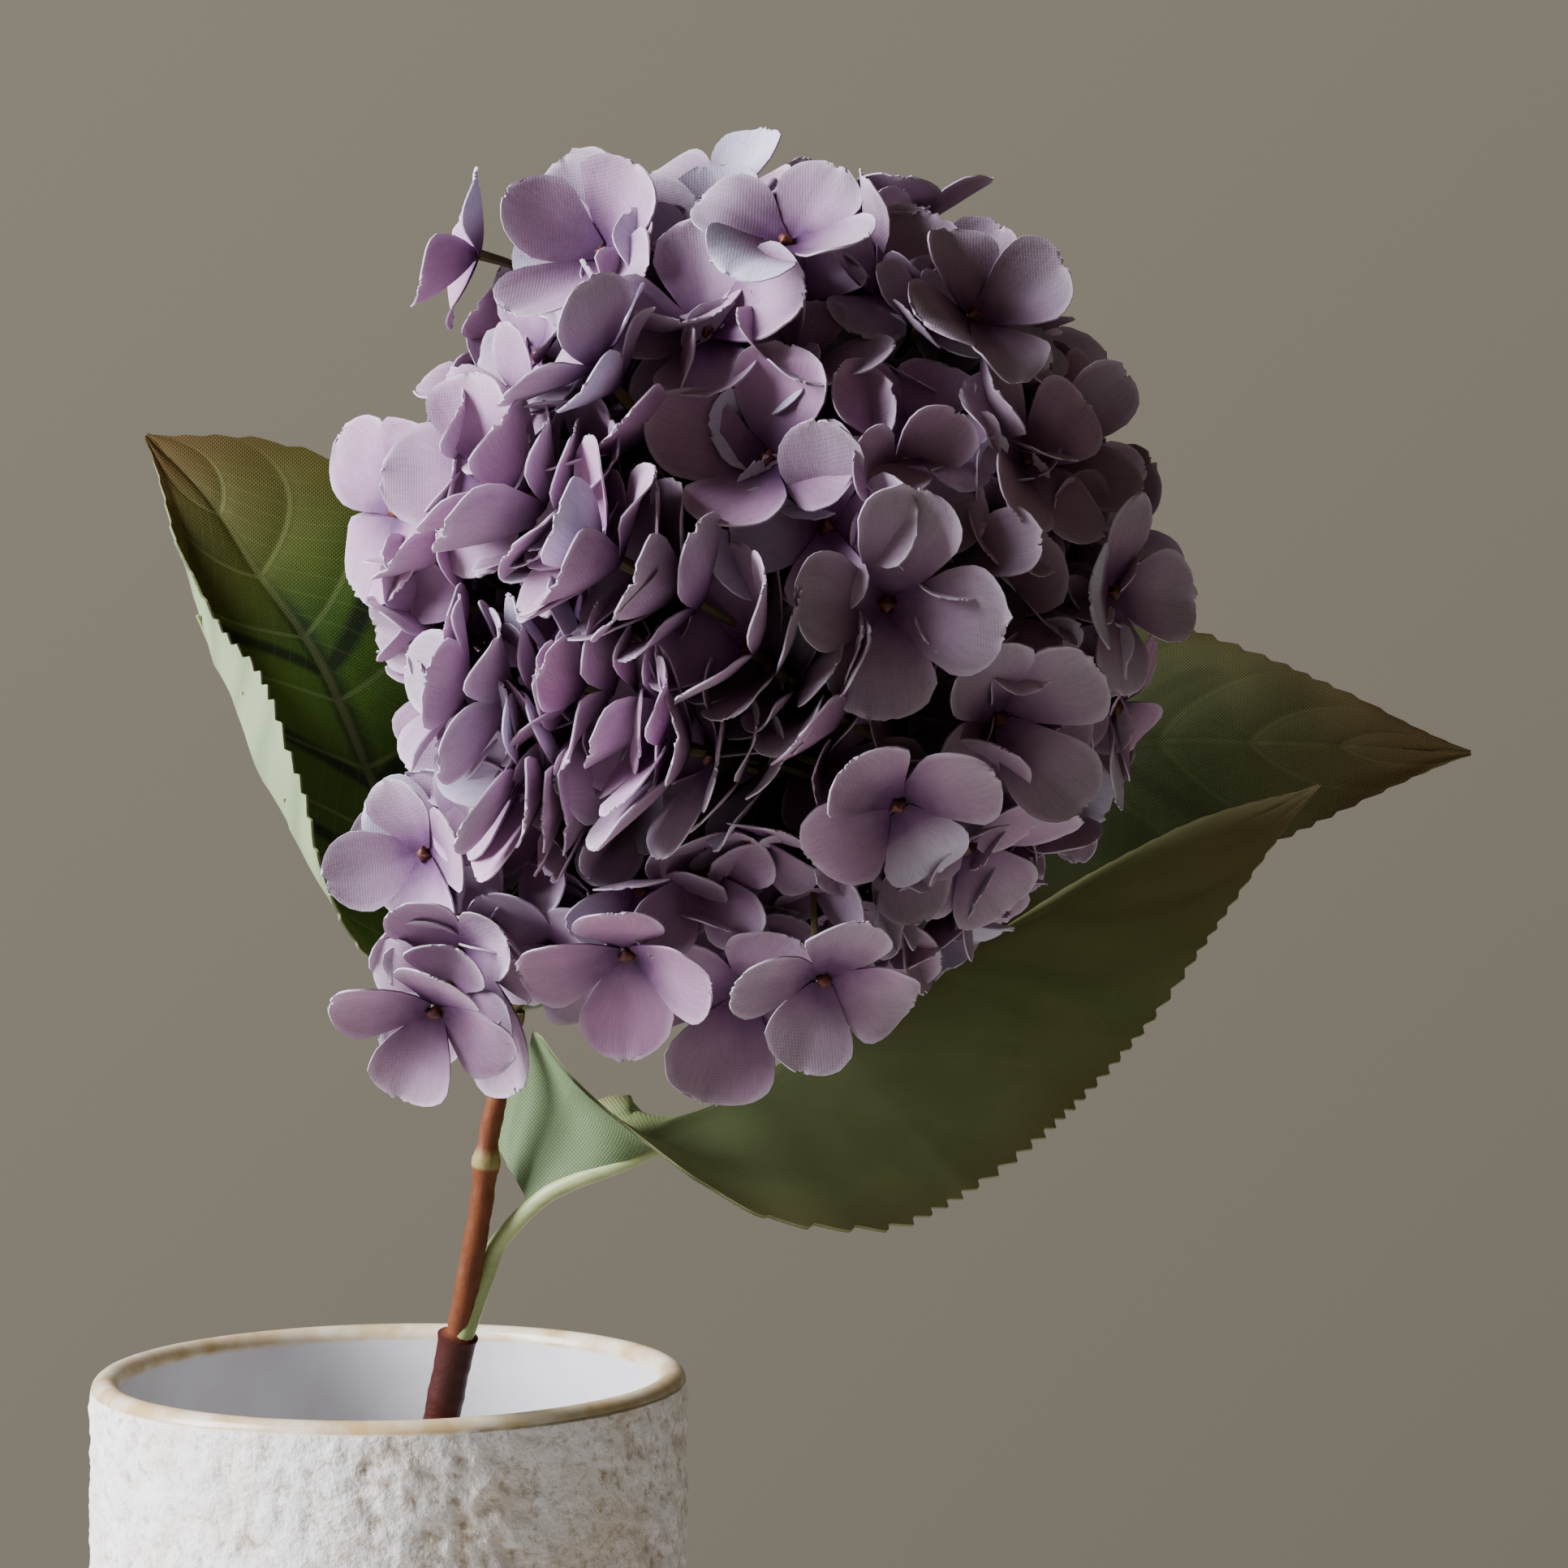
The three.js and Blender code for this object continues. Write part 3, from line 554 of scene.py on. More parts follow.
def slice_middle(z, near=None):
    """The middle of the stem's section at a height. near keeps out twigs that hang beside it."""
    corners = stem_points[stem_triangles]
    above = corners[:, :, 2] > z
    crossed = corners[above.any(axis=1) & ~above.all(axis=1)]
    if near is not None:
        reach = np.linalg.norm((crossed.mean(axis=1) - near)[:, :2], axis=1)
        crossed = crossed[reach < 14 * MM]
    middles, weights = [], []
    for triangle in crossed:
        cut = []
        for a, b in ((0, 1), (1, 2), (2, 0)):
            if (triangle[a][2] > z) != (triangle[b][2] > z):
                share = (z - triangle[a][2]) / (triangle[b][2] - triangle[a][2])
                cut.append(triangle[a] + share * (triangle[b] - triangle[a]))
        middle = (cut[0] + cut[1]) / 2
        if near is None or np.linalg.norm((middle - near)[:2]) < 5 * MM:
            middles.append(middle)
            weights.append(np.linalg.norm(cut[1] - cut[0]) + 1e-9)
    return np.average(middles, axis=0, weights=weights)


CANE_POINTS = 300
LIP_HEIGHT = VASE_HEIGHT
SLEEVE_TOP = LIP_HEIGHT + 14 * MM
NODE_HEIGHT = LIP_HEIGHT + 45 * MM
FORK_HEIGHT = LIP_HEIGHT + 71 * MM
stem_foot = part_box("stem")[0][2]
slice_heights = [stem_foot + 4 * MM, 60 * MM, 120 * MM, LIP_HEIGHT, SLEEVE_TOP - 3 * MM]
slice_heights += [LIP_HEIGHT + rise * MM for rise in (22, 30, 38, 50, 56, 61, 65)]
axis = []
for z in slice_heights:
    axis.append(slice_middle(z, axis[-1] if z > NODE_HEIGHT else None))
last_slope = (axis[-1] - axis[-2]) / (axis[-1][2] - axis[-2][2])
axis.append(axis[-1] + last_slope * (FORK_HEIGHT - axis[-1][2]))
first_slope = (axis[0] - axis[1]) / (axis[1][2] - axis[0][2])
axis.insert(0, axis[0] + first_slope * (axis[0][2] - stem_foot))
fork = axis[-1]
cane_path = smooth_path(axis, CANE_POINTS)
print("fork of the stem, mm:", fork / MM)


# %% Cane profile
# Height in metres and radius in mm: the sleeve and its mouth, the cane, the ring of the
# node, the thinner cane above it, and the swelling of the fork.
CANE_PROFILE = [
    (0, 3.2),
    (SLEEVE_TOP - 2.5 * MM, 3.2),
    (SLEEVE_TOP, 3.6),
    (SLEEVE_TOP + 0.7 * MM, 2.1),
    (NODE_HEIGHT - 4 * MM, 2.0),
    (NODE_HEIGHT - 1 * MM, 2.4),
    (NODE_HEIGHT + 0.4 * MM, 2.45),
    (NODE_HEIGHT + 2.2 * MM, 1.8),
    (FORK_HEIGHT - 6 * MM, 1.7),
    (FORK_HEIGHT - 1 * MM, 2.9),
    (FORK_HEIGHT + 2 * MM, 2.3),
]
# Height in metres and place on the colour ramp: dark red, orange-brown, green, brown.
CANE_BANDS = [
    (SLEEVE_TOP - 0.1 * MM, 0.0),
    (SLEEVE_TOP + 0.3 * MM, 0.3),
    (NODE_HEIGHT - 1.6 * MM, 0.3),
    (NODE_HEIGHT - 0.6 * MM, 0.6),
    (NODE_HEIGHT + 1.2 * MM, 0.6),
    (NODE_HEIGHT + 2.6 * MM, 0.4),
    (FORK_HEIGHT - 3 * MM, 0.4),
    (FORK_HEIGHT, 0.7),
]


def cane_radius(z):
    """Radius of the stem at a height, with a slight wobble as moulded canes have."""
    wobble = 0.07 * math.sin(z / MM * 0.9) + 0.05 * math.sin(z / MM * 2.3 + 1)
    return (np.interp(z, *zip(*CANE_PROFILE, strict=True)) + wobble) * MM


cane_radii = [cane_radius(z) for z in cane_path[:, 2]]
cane_zone = np.interp(cane_path[:, 2], *zip(*CANE_BANDS, strict=True))

# %% [markdown]
# Moulded polyethylene is slightly waxy. Its colour is sprayed on in bands: dark red on the
# sleeve, orange-brown on the cane, green on the ring, and darker streaks along it all.


# %% Moulded polyethylene of the stem
# Dark red of the sleeve, orange-brown of the cane, green of the ring, brown of the twigs.
SPRAY_STOPS = [
    (0.0, "#36100b"),
    (0.12, "#3e130d"),
    (0.3, "#693819"),
    (0.42, "#703d20"),
    (0.6, "#8f8250"),
    (0.75, "#7c6a45"),
    (1.0, "#5f5b38"),
]


def stem_plastic():
    """Waxy plastic whose colour follows the zone kept on the points, with dark streaks."""
    finish, tree, output = new_material("sprayed_polyethylene")
    zone = point_value(tree, "zone")
    ramp = add_node(tree, "ShaderNodeValToRGB", {0: zone})
    fill_ramp(ramp, SPRAY_STOPS)
    streaks = object_noise(tree, 500, 3, stretch=(1, 1, 0.15))
    colour = blend_colours(tree, remap(tree, streaks, 0.4, 0.75, 0.0, 0.5), ramp.outputs[0], "#3d170f")
    skin = object_noise(tree, 1500, 2)
    bump = add_node(tree, "ShaderNodeBump", {"Strength": 0.35, "Distance": 0.25 * MM, "Height": skin})
    plastic = add_node(
        tree,
        "ShaderNodeBsdfPrincipled",
        {"Base Color": colour, "Roughness": 0.55, "Specular IOR Level": 0.22, "Normal": bump.outputs[0]},
    )
    tree.links.new(plastic.outputs[0], output.inputs[0])
    return finish


stem_finish = stem_plastic()
cane = rods("stem_cane", [(cane_path, cane_radii, cane_zone)], stem_finish, 20)
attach(cane, "root")
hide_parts("stem")
print("cane:", len(cane.data.polygons), "faces")

# %% [markdown]
# ## Leaves
#
# Each leaf is printed fabric, die-cut with a toothed edge, pressed so that its veins
# stand up, and glued to a plastic rib. A leaf follows a rule: a spine, a width at each
# place along it and an angle for each half. So the sheet is worked out as a fine grid
# from those, with the teeth cut into its last columns and the pressed veins added to
# its height. The hem of the left leaf rolls over, and the front leaf is folded up near
# its base, so both show some of the pale underside.

# %% Leaf shapes
# For each leaf: the joint it grows from, its spine and the foot of its stalk in mm from
# there, the share of the spine that is bare stalk, the width of each half in mm, the way
# its upper side faces, how far each half rises along the blade and how far its hem rolls
# in degrees, where its side ribs start, and the number of its teeth.
CANE_JOINT = slice_middle(LIP_HEIGHT + 17 * MM)
LEAVES = {
    "left": {
        "joint": fork + np.array([-1, 1, -3]) * MM,
        "spine": [
            (-4, 4, 3),
            (-13, 12, 13),
            (-26, 21, 44),
            (-36, 29, 64),
            (-47, 33, 79),
            (-56, 36, 92),
            (-68, 38, 104),
        ],
        "stalk": 0.07,
        "foot": (0, 0, 0),
        "width": (54, 30),
        "face": (0.35, -0.93, 0.1),
        "fold": ([-60, -50, -25, 0, 10, 10], [30, 22, 14, 8, 0, 0]),
        "hem": (0, 120),
        "ribs": [0.14, 0.32, 0.52],
        "teeth": 27,
    },
    "front": {
        "joint": CANE_JOINT,
        "spine": [
            (5, -1, 10),
            (14, -7, 22),
            (31, -11, 30),
            (44, -8, 37),
            (62, 4, 48),
            (84, 19, 61),
            (113, 40, 72),
            (158, 60, 92),
        ],
        "stalk": 0.06,
        "foot": (0.1, -1.0, -4.4),
        "width": (38, 40),
        "face": (0, 0.1, 1),
        "fold": (
            [98, 82, -30, -50, -52, -54, -56, -57, -55, -52, -50, -48, -46],
            [50, 20, -20, -30, -28, -18, 0, 16, 24],
        ),
        "hem": (0, 0),
        "ribs": [0.34, 0.5, 0.64],
        "teeth": 44,
    },
    "right": {
        "joint": fork + np.array([0, 1, 1]) * MM,
        "spine": [
            (5, 15, -2),
            (13, 38, 4),
            (31, 66, 21),
            (70, 83, 38),
            (115, 87, 45),
            (140, 88, 45),
            (181, 90, 43),
        ],
        "stalk": 0.32,
        "foot": (0, 0, 0),
        "width": (34, 34),
        "face": (0.1, -0.85, 0.5),
        "fold": ([0, -20, -28, -14], [20, 8, 0, 0]),
        "hem": (0, 0),
        "ribs": [0.14, 0.32, 0.5],
        "teeth": 34,
    },
}
LEAF_SHEET = 0.5 * MM
HEM_START = 0.62  # share of a half's width where its hem starts to roll
HEM_RUN = 0.14
SPINE_POINTS = 400
LEAF_ROWS = 300
LEAF_COLUMNS = 49
TOOTH_DEPTH = 0.045  # share of the half's width
TOOTH_RISE = 0.78  # share of a tooth on which it rises
VEIN_PAIRS = 8.5
VEIN_CLIMB = 0.2
VEIN_RELIEF = 0.32 * MM
BUCKLE = 0.9 * MM
RIB_CLIMB = 0.25


def at_places(table, place):
    """The rows of a table at places between them."""
    return np.stack([np.interp(place, np.arange(len(table)), column) for column in table.T], axis=1)


def leaf_path(leaf):
    """Points along a leaf's spine, from its stalk to its tip."""
    return smooth_path([leaf["joint"] + np.array(p) * MM for p in leaf["spine"]], SPINE_POINTS)


def leaf_frames(leaf, along):
    """Origins, normals and side directions of a leaf's spine at shares of its blade."""
    path = leaf_path(leaf)
    share = leaf["stalk"] + (1 - leaf["stalk"]) * along
    place = share * (len(path) - 1)
    origins = at_places(path, place)
    tangents = unit(at_places(unit(np.gradient(path, axis=0)), place))
    up = np.array(leaf["face"])
    normals = unit(up - (tangents @ up)[:, None] * tangents)
    return origins, normals, np.cross(tangents, normals)


def outline(along):
    """Half-width along the blade as a share of the widest: a round base, a drawn-out tip."""
    swell = np.sin(np.pi * np.power(np.clip(along, 0, 1), 0.7))
    return np.power(np.maximum(swell, 0), 0.6 + 0.5 * along)


def fold_angles(values, along):
    """The rise of one half at shares of the blade, smoothed between its named values."""
    plain = np.interp(along, np.linspace(0, 1, len(values)), values)
    window = np.hanning(25)
    padded = np.pad(plain, 12, mode="edge")
    return np.radians(np.convolve(padded, window / window.sum(), mode="valid"))


def saw(phase):
    """A tooth that rises slowly and drops at once, from 0 to 1."""
    part = phase % 1.0
    return np.where(part < TOOTH_RISE, part / TOOTH_RISE, (1 - part) / (1 - TOOTH_RISE))


def leaf_grid(leaf, rows=LEAF_ROWS, teeth=True):
    """The leaf's sheet as a grid, with (along, across) for each point."""
    along = np.linspace(0.012, 0.993, rows)
    origins, normals, sides = leaf_frames(leaf, along)
    half_columns = LEAF_COLUMNS // 2
    reach = np.sin(np.linspace(0, np.pi / 2, half_columns + 1)) ** 1.15
    halves = {}
    for sign, width, fold, hem in zip((1, -1), leaf["width"], leaf["fold"], leaf["hem"], strict=True):
        rise = fold_angles(fold, along)[:, None]
        turn = np.radians(hem) * np.sin(np.pi * along)[:, None]
        rolled = np.clip((reach - HEM_START) / HEM_RUN, 0, 1)
        cupped = np.radians(10) * (reach - 0.5)
        angle = rise + turn * (rolled * rolled * (3 - 2 * rolled))[None, :] - cupped[None, :]
        spread = width * MM * outline(along)[:, None] * np.diff(reach, prepend=0)[None, :]
        if teeth:
            tooth = saw(along * leaf["teeth"] + 0.15 * np.sin(along * 40))[:, None]
            near_edge = np.clip((reach - 0.9) / 0.1, 0, 1)[None, :]
            full = width * MM * np.minimum(outline(along)[:, None] + 0.08, 1)
            change = (tooth - 0.6) * TOOTH_DEPTH * full * near_edge
            spread = spread + np.diff(change, axis=1, prepend=0)
        middle = (angle[:, 1:] + angle[:, :-1]) / 2
        middle = np.concatenate([angle[:, :1], middle], axis=1)
        out = np.cumsum(spread * np.cos(middle), axis=1)
        up = np.cumsum(spread * np.sin(middle), axis=1)
        sideways = sign * sides[:, None] * out[..., None]
        halves[sign] = origins[:, None] + sideways + normals[:, None] * up[..., None]
    grid = np.concatenate([halves[1][:, :0:-1], halves[-1]], axis=1)
    across = np.concatenate([reach[:0:-1], -reach])
    uv = np.stack(np.broadcast_arrays(along[:, None], across[None, :]), axis=-1)
    return grid, uv


def vein_distance(uv):
    """How far a place is from the nearest side vein, from 0 on it to 1 between two."""
    phase = (uv[..., 0] - VEIN_CLIMB * np.abs(uv[..., 1]) ** 1.2) * VEIN_PAIRS
    return np.abs(phase - np.round(phase)) * 2


def pressed(grid, uv, seed):
    """The grid with its veins pressed in and its cloth slightly buckled."""
    across = np.abs(uv[..., 1])
    vein = np.exp(-((vein_distance(uv) / 0.22) ** 2)) * np.clip(1.15 - across, 0, 1)
    bulge = np.sin(np.pi * np.clip(vein_distance(uv), 0, 1) / 2) * np.sin(np.pi * np.clip(across, 0, 1))
    middle = np.exp(-((across / 0.05) ** 2))
    buckle = np.array([[noise.noise(Vector((u * 9, v * 1.6, seed))) for u, v in row] for row in uv])
    height = VEIN_RELIEF * (0.6 * bulge - 0.5 * vein - 0.9 * middle) + BUCKLE * buckle * across
    return grid + grid_normals(grid) * height[..., None]


# %% [markdown]
# The leaf's cloth is plain-woven polyester, printed green on its upper side with brown
# blushes at the tip and edges and thin pale veins, and left pale grey-green below. The
# veins in the print follow the same rule as the pressed ones. Where a rib lies behind
# the cloth it keeps light from coming through, and that dark band is painted shade. The
# underside is painted darker along its side veins, as shade in the pressed ripples. The
# threads, about 0.2 mm apart on the real cloth, are drawn at 0.5 mm so that they show.


# %% Printed leaf cloth
THREAD = 0.5 * MM


def weave(tree, spacing, angle=0.0):
    """The height of crossing threads over the surface, by Object coordinates."""
    coordinates = add_node(tree, "ShaderNodeTexCoord").outputs["Object"]
    turned = add_node(
        tree, "ShaderNodeMapping", {"Vector": coordinates, "Rotation": (0.3, angle, 0.2)}
    ).outputs[0]
    waves = []
    for direction in ("X", "Z"):
        wave = add_node(
            tree,
            "ShaderNodeTexWave",
            {"Vector": turned, "Scale": 1 / (spacing * 3.14), "Distortion": 0.6, "Detail": 1.0},
            bands_direction=direction,
        )
        waves.append(wave.outputs["Fac"])
    return maths(tree, "MULTIPLY", waves[0], waves[1])


def share_near(tree, value, full, none):
    """1 where a value is below full, fading to 0 where it is above none."""
    return remap(tree, value, full, none, 1.0, 0.0)


def gap(tree, value, mark):
    """How far a value is from a mark."""
    return maths(tree, "ABSOLUTE", maths(tree, "SUBTRACT", value, mark))


def wandering(tree, value, drift, amount):
    """A value pushed about by a slow noise, so that an edge doesn't run straight."""
    return maths(tree, "ADD", value, maths(tree, "MULTIPLY", drift, amount))


def printed_veins(tree, along, across, drift):
    """Shares of colour for all the printed veins, and how far the nearest side vein is."""
    climbed = maths(tree, "MULTIPLY", maths(tree, "POWER", across, 1.2), VEIN_CLIMB)
    phase = maths(tree, "MULTIPLY", maths(tree, "SUBTRACT", along, climbed), VEIN_PAIRS)
    side_vein = gap(tree, phase, maths(tree, "ROUND", phase))
    side_line = share_near(tree, side_vein, 0.02, 0.05)
    slanted = maths(tree, "ADD", phase, maths(tree, "MULTIPLY", across, 5.0))
    fine_phase = maths(tree, "MULTIPLY", slanted, 2.2)
    fine = gap(tree, fine_phase, maths(tree, "ROUND", fine_phase))
    fine_line = remap(tree, wandering(tree, fine, drift, 0.2), 0.1, 0.16, 0.35, 0.0)
    mid_line = share_near(tree, across, 0.012, 0.03)
    main_lines = maths(tree, "MAXIMUM", side_line, mid_line)
    return maths(tree, "MAXIMUM", main_lines, fine_line), side_vein


def painted_rib_shade(tree, along, across, ribs):
    """Painted shade: 1 where the midrib or a side rib lies behind the cloth and keeps light from coming
    through.
    """
    midrib = share_near(tree, across, 0.02, 0.075)
    shade = maths(tree, "MULTIPLY", midrib, share_near(tree, along, 0.62, 0.7))
    climb = maths(tree, "SUBTRACT", along, maths(tree, "MULTIPLY", across, RIB_CLIMB))
    for start in ribs:
        on_rib = share_near(tree, gap(tree, climb, start), 0.008, 0.022)
        band = maths(tree, "MULTIPLY", on_rib, share_near(tree, across, 0.6, 0.7))
        shade = maths(tree, "MAXIMUM", shade, band)
    return shade


def leaf_cloth(name, ribs, look):
    """Printed cloth: green above, with blushes, veins and painted shade over the ribs, and pale below with
    painted shade along its side veins.
    """
    finish, tree, output = new_material(name)
    uv = add_node(tree, "ShaderNodeUVMap", uv_map="UVMap").outputs[0]
    parts = add_node(tree, "ShaderNodeSeparateXYZ", {0: uv})
    along, across = parts.outputs[0], maths(tree, "ABSOLUTE", parts.outputs[1])
    drift = object_noise(tree, 30 + look["seed"], 4)
    green = blend_colours(tree, remap(tree, drift, 0.35, 0.65), look["dark"], look["light"])
    lines, side_vein = printed_veins(tree, along, across, drift)
    vein_share = look["vein_share"]
    faded = maths(tree, "MULTIPLY", lines, remap(tree, across, 0.35, 0.95, vein_share, 0.1 * vein_share))
    edge = remap(tree, wandering(tree, across, drift, 0.5), 1.05, 1.35)
    tip = remap(tree, wandering(tree, along, drift, 0.35), 0.72, 1.1)
    browned = maths(tree, "MULTIPLY", maths(tree, "MAXIMUM", edge, tip), look["blush_share"])
    upper = blend_colours(tree, browned, green, look["blush"])
    shade = painted_rib_shade(tree, along, across, ribs)
    # Painted shade: a near-black green where a rib lies behind the cloth.
    upper = blend_colours(tree, maths(tree, "MULTIPLY", shade, look["painted_shade_share"]), upper, "#10180a")
    upper = blend_colours(tree, faded, upper, "#a3b06a")
    threads = weave(tree, THREAD, 0.785)
    below = blend_colours(tree, remap(tree, threads, 0.1, 0.6, 0.0, 0.45), look["under"], "#acbd98")
    # Painted shade: the underside is darker along the side veins, where the pressed ripples lie in shade.
    below = blend_colours(tree, remap(tree, side_vein, 0.0, 0.3, 0.45, 0.0), below, "#66784f")
    colour = blend_colours(tree, point_value(tree, "under"), upper, below)
    height = maths(tree, "ADD", threads, maths(tree, "MULTIPLY", lines, 0.35))
    bump = add_node(tree, "ShaderNodeBump", {"Strength": 0.35, "Distance": 0.15 * MM, "Height": height})
    cloth = add_node(
        tree,
        "ShaderNodeBsdfPrincipled",
        {"Base Color": colour, "Roughness": 0.68, "IOR": 1.35, "Normal": bump.outputs[0]},
    )
    through = add_node(tree, "ShaderNodeBsdfTranslucent", {"Color": colour})
    shared = add_node(tree, "ShaderNodeMixShader", {0: 0.3, 1: cloth.outputs[0], 2: through.outputs[0]})
    tree.links.new(shared.outputs[0], output.inputs[0])
    return finish


# The two greens of the upper side, the underside and the blush, and how strongly the
# blush, the pale veins and the painted shade of the ribs show. The front leaf's greens
# are far lighter than the others': painted light on a leaf that lies in the head's shadow.
LEAF_PRINTS = {
    "left": {
        "light": "#4d7019",
        "dark": "#365614",
        "under": "#92a578",
        "blush": "#5a4419",
        "blush_share": 0.95,
        "vein_share": 0.2,
        "painted_shade_share": 0.8,
        "seed": 1,
    },
    "front": {
        # Painted light: these greens are painted light, so the leaf looks lit in the head's shadow.
        "light": "#bccc8c",
        "dark": "#9fb073",
        "under": "#667c53",
        "blush": "#a8946a",
        "blush_share": 0.75,
        "vein_share": 0.14,
        "painted_shade_share": 0.1,
        "seed": 2,
    },
    "right": {
        "light": "#56603a",
        "dark": "#434e2a",
        "under": "#748659",
        "blush": "#5d4a2a",
        "blush_share": 0.95,
        "vein_share": 0.06,
        "painted_shade_share": 0.2,
        "seed": 3,
    },
}

# %% Leaf pieces
leaf_shift = {}
for side, leaf in LEAVES.items():
    grid, uv = leaf_grid(leaf)
    grid = pressed(grid, uv, LEAF_PRINTS[side]["seed"])
    points, faces = sheet_solid(grid, LEAF_SHEET)
    count = len(points) // 2
    low, high = (np.array(corner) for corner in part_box("leaf_" + side))
    shift = (low + high) / 2 - (points.min(axis=0) + points.max(axis=0)) / 2
    leaf_shift[side] = shift
    flat_uv = np.tile(uv.reshape(-1, 2), (2, 1))
    under = np.repeat([0.0, 1.0], count)
    cloth = leaf_cloth("leaf_cloth_" + side, leaf["ribs"], LEAF_PRINTS[side])
    made = new_piece("leaf_" + side + "_cloth", points, faces, cloth, {"under": under}, flat_uv, 70)
    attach(made, "root")
    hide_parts("leaf_" + side)
    print(side, "leaf:", len(faces), "faces; box centres differ by", np.round(shift / MM, 2), "mm")

# %% [markdown]
# Under each leaf runs a rib moulded with the leaf's stalk: a round stalk, a midrib that
# tapers and ends a little before the tip, and short side ribs that branch off in pairs.
# The rods lie just under the cloth, so they take their path from the same grid.


# %% Leaf ribs
def rib_plastic():
    """Satin pale green plastic with slightly darker streaks."""
    finish, tree, output = new_material("rib_polyethylene")
    drift = object_noise(tree, 90, 3)
    streaks = object_noise(tree, 700, 2, stretch=(0.3, 0.3, 1))
    colour = blend_colours(tree, remap(tree, drift, 0.35, 0.65), "#a3ad78", "#8b9a5c")
    colour = blend_colours(tree, remap(tree, streaks, 0.45, 0.8, 0.0, 0.4), colour, "#6f7a45")
    bump = add_node(tree, "ShaderNodeBump", {"Strength": 0.3, "Distance": 0.2 * MM, "Height": streaks})
    plastic = add_node(
        tree,
        "ShaderNodeBsdfPrincipled",
        {"Base Color": colour, "Roughness": 0.45, "IOR": 1.5, "Normal": bump.outputs[0]},
    )
    tree.links.new(plastic.outputs[0], output.inputs[0])
    return finish


RIB_CLEARANCE = 1.55 * MM  # from the cloth's underside to the middle of the midrib
SIDE_RIB_CLEARANCE = 0.85 * MM
RIB_ROWS = 120
RIB_POINTS = 110
STALK_POINTS = 14
SIDE_RIB_POINTS = 16
SIDE_RIB_ALONG = 0.055  # travel along and across the blade for each step of a side rib
SIDE_RIB_ACROSS = 0.22


def rib_paths(leaf):
    """The rods under a leaf: its stalk with the midrib in one, and its side ribs."""
    path = leaf_path(leaf)
    grid, _ = leaf_grid(leaf, RIB_ROWS, teeth=False)
    normals = grid_normals(grid)
    middle = LEAF_COLUMNS // 2
    drop = LEAF_SHEET / 2 + RIB_CLEARANCE
    centre_normals = unit(normals[:, middle - 1] + normals[:, middle + 1])
    spine = grid[:, middle] - centre_normals * drop
    stalk_end = int(leaf["stalk"] * (len(path) - 1))
    stride = max(stalk_end // 4, 1)
    foot = leaf["joint"] + np.array(leaf["foot"]) * MM
    stalk = smooth_path([foot, *path[stride : stalk_end + 1 : stride]], STALK_POINTS)
    rib_path = smooth_path([*stalk[:-2:3], *spine[2 : int(RIB_ROWS * 0.92) : 4]], RIB_POINTS)
    radii = np.interp(np.linspace(0, 1, RIB_POINTS), [0, 0.12, 0.5, 1], [2.0, 1.6, 0.95, 0.35]) * MM
    paths = [(rib_path, radii, 0.5)]
    for start in leaf["ribs"]:
        for sign in (-1, 1):
            branch = [spine[int(start * RIB_ROWS)]]
            for step in (1, 2, 3):
                row = min(int((start + SIDE_RIB_ALONG * step) * RIB_ROWS), RIB_ROWS - 1)
                column = middle + sign * int(round(SIDE_RIB_ACROSS * step * middle))
                below = LEAF_SHEET / 2 + SIDE_RIB_CLEARANCE
                branch.append(grid[row, column] - normals[row, column] * below)
            radii = np.linspace(0.75, 0.35, SIDE_RIB_POINTS) * MM
            paths.append((smooth_path(branch, SIDE_RIB_POINTS), radii, 0.5))
    return paths


rib_finish = rib_plastic()
for side, leaf in LEAVES.items():
    made = rods("rib_" + side + "_rod", rib_paths(leaf), rib_finish, 10)
    made.data.transform(Matrix.Translation(leaf_shift[side]))
    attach(made, "root")
    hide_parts("rib_" + side)
    print(side, "rib:", len(made.data.polygons), "faces")

# %% [markdown]
# ## Florets
#
# The head is made of four-petalled florets. Each one is a single die-cut piece of
# voile, dipped and pressed so that its petals cup, and pushed onto a twig. The CAD has
# 51 of them as plain cups. Each cup's mesh tells where the real floret sits: the axis
# that differs from the other two, which are alike, is the way it looks, the knob is its
# lowest point, and the notches between the petals say how far it is turned.


# %% Poses of the florets
KNOB_LENGTH = 3.2 * MM
PETAL_REACH = 0.97  # how far the CAD's petals reach, as a share of half the span


def floret_pose(name):
    """Centre, axes (columns: towards a petal, across, look) and half span of a CAD floret."""
    points = np.unique(np.round(cad_points(name)[0], 7), axis=0)
    middle = points.mean(axis=0)
    spreads, axes = np.linalg.eigh(np.cov((points - middle).T))
    likeness = [(abs(spreads[i] - spreads[j]), 3 - i - j) for i, j in ((0, 1), (0, 2), (1, 2))]
    look = axes[:, min(likeness)[1]]
    offsets = points - middle
    heights = offsets @ look
    radii = np.linalg.norm(offsets - heights[:, None] * look, axis=1)
    if heights[radii > 0.8 * radii.max()].mean() < heights[radii < 0.2 * radii.max()].mean():
        look, heights = -look, -heights
    knob = points[heights < heights.min() + 0.2 * MM].mean(axis=0)
    centre = knob + KNOB_LENGTH * look
    side = unit(np.cross(look, [0.3, 0.2, 0.9]))
    third = np.cross(look, side)
    x, y = (points - centre) @ side, (points - centre) @ third
    radii = np.hypot(x, y)
    half = radii.max() / PETAL_REACH
    notch = (radii > 0.3 * half) & (radii < 0.45 * half)
    phase = np.angle(np.exp(4j * np.arctan2(y[notch], x[notch])).mean()) / 4 + math.pi / 4
    first = math.cos(phase) * side + math.sin(phase) * third
    return centre, np.stack([first, np.cross(look, first), look], axis=1), half


